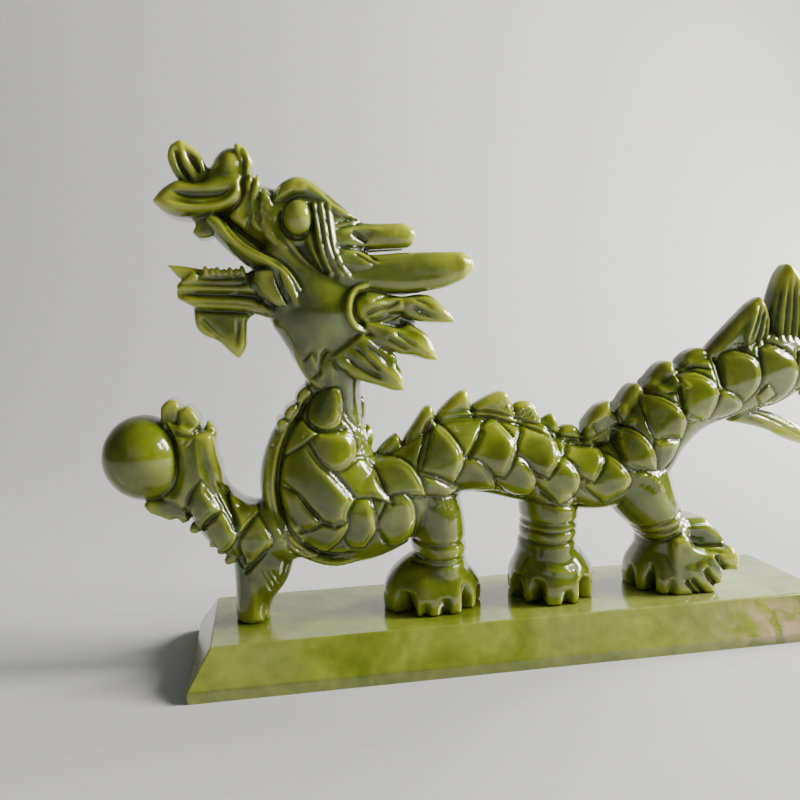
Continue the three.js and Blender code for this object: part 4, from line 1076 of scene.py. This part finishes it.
def plinth_mesh():
    """The plinth with its upper edges worn soft."""
    length, width, height = PLINTH_HIGH - PLINTH_LOW
    band, inset = 3.1, 6.3
    mesh = bpy.data.meshes.new("plinth_slab")
    levels = [(PLINTH_LOW[2], 0.0), (PLINTH_LOW[2] + band, 0.0), (PLINTH_HIGH[2], inset)]
    points = [
        (sx * (length / 2 - back), sy * (width / 2 - back), z)
        for z, back in levels
        for sx, sy in ((-1, -1), (1, -1), (1, 1), (-1, 1))
    ]
    faces = [(3, 2, 1, 0), (8, 9, 10, 11)]
    for level in (0, 4):
        faces += [(level + i, level + (i + 1) % 4, level + 4 + (i + 1) % 4, level + 4 + i) for i in range(4)]
    mesh.from_pydata([tuple(c * MM for c in p) for p in points], [], faces)
    shaping = bmesh.new()
    shaping.from_mesh(mesh)
    worn = [edge for edge in shaping.edges if max(v.co.z for v in edge.verts) > SOFTENED_ABOVE * MM]
    bevelled = bmesh.ops.bevel(shaping, geom=worn, offset=WORN_EDGE * MM, segments=3, profile=0.5, affect="EDGES")
    for face in bevelled["faces"]:
        face.smooth = True
    shaping.to_mesh(mesh)
    shaping.free()
    return mesh


# ---------------------------------------------------------------- materials

def value_node(tree, kind, x, y, **settings):
    node = tree.nodes.new(kind)
    node.location = (x, y)
    for name, value in settings.items():
        setattr(node, name, value)
    return node


def ramp(tree, source, stops, x, y):
    node = value_node(tree, "ShaderNodeValToRGB", x, y)
    elements = node.color_ramp.elements
    while len(elements) < len(stops):
        elements.new(0.5)
    for element, (position, colour) in zip(elements, stops):
        element.position = position
        element.color = (*colour, 1.0)
    tree.links.new(source, node.inputs["Fac"])
    return node.outputs["Color"]


def mix(tree, factor, first, second, x, y, blend="MIX"):
    node = value_node(tree, "ShaderNodeMix", x, y, data_type="RGBA", blend_type=blend)
    for socket, value in ((node.inputs["Factor"], factor), (node.inputs[6], first), (node.inputs[7], second)):
        if isinstance(value, (int, float)):
            socket.default_value = value
        elif isinstance(value, tuple):
            socket.default_value = (*value, 1.0)
        else:
            tree.links.new(value, socket)
    return node.outputs[2]


def noise_node(tree, place, scale_value, detail, x, y, distortion=0.0):
    node = value_node(tree, "ShaderNodeTexNoise", x, y)
    node.inputs["Scale"].default_value = scale_value
    node.inputs["Detail"].default_value = detail
    node.inputs["Distortion"].default_value = distortion
    tree.links.new(place, node.inputs["Vector"])
    return node.outputs["Fac"]


def jade_material(name, dark, light, grey, yellow, from_mesh):
    material = bpy.data.materials.new(name)
    material.use_nodes = True
    tree = material.node_tree
    tree.nodes.clear()
    output = value_node(tree, "ShaderNodeOutputMaterial", 900, 0)
    shader = value_node(tree, "ShaderNodeBsdfPrincipled", 600, 0)
    tree.links.new(shader.outputs["BSDF"], output.inputs["Surface"])
    place = value_node(tree, "ShaderNodeTexCoord", -900, 0).outputs["Object"]
    clouds = noise_node(tree, place, 48.0, 4.0, -650, 200, 0.6)
    drift = noise_node(tree, place, 26.0, 2.0, -650, 400)
    grain = noise_node(tree, place, 260.0, 3.0, -650, -50)
    colour = ramp(tree, clouds, [(0.32, dark), (0.68, light)], -400, 200)
    colour = mix(tree, ramp(tree, drift, [(0.5, (0, 0, 0)), (0.7, (0.7, 0.7, 0.7))], -400, 400), colour, grey, -200, 300)
    speckle = ramp(tree, grain, [(0.3, (0.84, 0.84, 0.84)), (0.7, (1.12, 1.12, 1.12))], -400, -50)
    colour = mix(tree, 1.0, colour, speckle, -100, 100, "MULTIPLY")
    if from_mesh:
        thin = value_node(tree, "ShaderNodeAttribute", -650, 600, attribute_name="thin").outputs["Fac"]
        sunk = value_node(tree, "ShaderNodeAttribute", -650, 850, attribute_name="sunk").outputs["Fac"]
        # painted light: thin parts are mixed towards yellow, a painted glow of light shining through the thin jade
        painted_glow = ramp(tree, thin, [(0.35, (0, 0, 0)), (0.85, (1, 1, 1))], -400, 600)
        colour = mix(tree, painted_glow, colour, yellow, 50, 200)
        # painted highlight: convex edges and ridges (negative sunk) are mixed towards pale yellow, as if catching the
        # light
        proud = value_node(tree, "ShaderNodeMath", -500, 1050, operation="MULTIPLY")
        tree.links.new(sunk, proud.inputs[0])
        proud.inputs[1].default_value = -1.0
        edges = ramp(tree, proud.outputs[0], [(0.2, (0, 0, 0)), (0.8, (0.3, 0.3, 0.3))], -400, 1050)
        colour = mix(tree, edges, colour, yellow, 150, 250)
        # grooves and hollows are darkened: partly real residue in the cuts, partly painted shade where they lie in
        # shadow
        grime_and_painted_shade = ramp(tree, sunk, [(0.1, (1, 1, 1)), (0.8, (0.42, 0.42, 0.36))], -400, 850)
        colour = mix(tree, 1.0, colour, grime_and_painted_shade, 250, 200, "MULTIPLY")
    else:
        # a pinkish brown vein on the front, near the tail
        patch = value_node(tree, "ShaderNodeMapping", -900, 700, vector_type="TEXTURE")
        patch.inputs["Location"].default_value = (0.072, -0.025, 0.006)
        patch.inputs["Scale"].default_value = (0.022, 0.02, 0.008)
        tree.links.new(place, patch.inputs["Vector"])
        ball = value_node(tree, "ShaderNodeTexGradient", -700, 700, gradient_type="SPHERICAL")
        tree.links.new(patch.outputs["Vector"], ball.inputs["Vector"])
        within = ramp(tree, ball.outputs["Fac"], [(0.0, (0, 0, 0)), (0.7, (1, 1, 1))], -500, 700)
        torn = ramp(tree, noise_node(tree, place, 150.0, 4.0, -700, 900, 1.0), [(0.42, (0, 0, 0)), (0.6, (1, 1, 1))],
                    -500, 900)
        colour = mix(tree, mix(tree, 1.0, within, torn, -300, 800, "MULTIPLY"), colour, (0.5, 0.36, 0.22), 100, 300)
    tree.links.new(colour, shader.inputs["Base Color"])
    bump = value_node(tree, "ShaderNodeBump", 300, -300)
    bump.inputs["Strength"].default_value = 0.35
    bump.inputs["Distance"].default_value = 0.00012
    tree.links.new(noise_node(tree, place, 520.0, 3.0, 50, -300, 0.4), bump.inputs["Height"])
    tree.links.new(bump.outputs["Normal"], shader.inputs["Normal"])
    shader.inputs["Roughness"].default_value = 0.14
    shader.inputs["IOR"].default_value = 1.62
    shader.inputs["Coat Weight"].default_value = 0.4
    shader.inputs["Coat Roughness"].default_value = 0.05
    shader.inputs["Subsurface Weight"].default_value = 0.3
    shader.inputs["Subsurface Radius"].default_value = (0.9, 1.0, 0.25)
    shader.inputs["Subsurface Scale"].default_value = 0.003
    return material


# ---------------------------------------------------------------- scene

def new_piece(name, mesh, material, node):
    piece = bpy.data.objects.new(name, mesh)
    bpy.context.scene.collection.objects.link(piece)
    mesh.materials.clear()
    mesh.materials.append(material)
    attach(piece, "root")
    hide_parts(node)
    return piece


def plain_material(name, colour, roughness):
    material = bpy.data.materials.new(name)
    material.use_nodes = True
    shader = material.node_tree.nodes["Principled BSDF"]
    shader.inputs["Base Color"].default_value = (*colour, 1.0)
    shader.inputs["Roughness"].default_value = roughness
    return material


def floor():
    """A pale sheet that sweeps up behind the object."""
    half, front, back, rise, bend = 5.0, -3.0, 0.85, 4.0, 0.5
    profile = [(front, 0.0), (back - bend, 0.0)]
    for i in range(1, 17):
        turn = math.pi / 2 * i / 16
        profile.append((back - bend + bend * math.sin(turn), bend - bend * math.cos(turn)))
    profile.append((back, rise))
    points = [(x, y, z) for y, z in profile for x in (-half, half)]
    faces = [(2 * i, 2 * i + 1, 2 * i + 3, 2 * i + 2) for i in range(len(profile) - 1)]
    mesh = bpy.data.meshes.new("floor")
    mesh.from_pydata(points, [], faces)
    mesh.polygons.foreach_set("use_smooth", [True] * len(faces))
    mesh.materials.append(plain_material("floor cloth", (0.50, 0.50, 0.49), 0.9))
    sheet = bpy.data.objects.new("floor", mesh)
    bpy.context.scene.collection.objects.link(sheet)


def area_light(name, place, target, size, power, colour=(1, 1, 1)):
    data = bpy.data.lights.new(name, "AREA")
    data.shape = "RECTANGLE"
    data.size, data.size_y = size
    data.energy = power
    data.color = colour
    light = bpy.data.objects.new(name, data)
    light.location = place
    light.rotation_euler = (Vector(target) - Vector(place)).to_track_quat("-Z", "Y").to_euler()
    bpy.context.scene.collection.objects.link(light)


def lights():
    middle = (0, 0, 0.07)
    area_light("window", (0.95, -0.12, 0.6), middle, (0.35, 0.5), 34, (1.0, 0.99, 0.95))
    area_light("window beyond", (1.0, 0.4, 0.5), middle, (0.25, 0.5), 18)
    area_light("window bars", (0.8, -0.5, 0.6), middle, (0.06, 0.3), 3.0)
    area_light("front fill", (-0.5, -1.3, 0.5), middle, (1.2, 0.8), 0.6, (0.95, 0.98, 1.0))
    world = bpy.data.worlds.new("soft room")
    world.use_nodes = True
    world.node_tree.nodes["Background"].inputs["Color"].default_value = (0.93, 0.96, 1.0, 1.0)
    world.node_tree.nodes["Background"].inputs["Strength"].default_value = 0.07
    bpy.context.scene.world = world


def camera():
    forward = np.array([
        math.sin(CAMERA_YAW) * math.cos(CAMERA_PITCH),
        math.cos(CAMERA_YAW) * math.cos(CAMERA_PITCH),
        -math.sin(CAMERA_PITCH),
    ])
    level = np.array([math.cos(CAMERA_YAW), -math.sin(CAMERA_YAW), 0.0])
    down = np.cross(forward, level)
    right = math.cos(CAMERA_ROLL) * level + math.sin(CAMERA_ROLL) * down
    up = math.sin(CAMERA_ROLL) * level - math.cos(CAMERA_ROLL) * down
    matrix = np.eye(4)
    matrix[:3, 0], matrix[:3, 1], matrix[:3, 2], matrix[:3, 3] = right, up, -forward, CAMERA_PLACE
    data = bpy.data.cameras.new("camera")
    data.sensor_width = SENSOR
    data.lens = SENSOR
    data.clip_start, data.clip_end = 0.01, 20.0
    eye = bpy.data.objects.new("camera", data)
    bpy.context.scene.collection.objects.link(eye)
    eye.matrix_world = Matrix(matrix.tolist())
    bpy.context.scene.camera = eye


carve_dragon()
deep_jade = jade_material("jade", (0.06, 0.08, 0.004), (0.2, 0.25, 0.013), (0.1, 0.13, 0.035), (0.6, 0.61, 0.06), True)
pale_jade = jade_material("pale jade", (0.13, 0.17, 0.01), (0.3, 0.35, 0.045), (0.24, 0.26, 0.08), (0.5, 0.5, 0.1), False)
new_piece("dragon_carving", dragon_piece(), deep_jade, "dragon")
new_piece("plinth_slab", plinth_mesh(), pale_jade, "plinth")
floor()
lights()
camera()
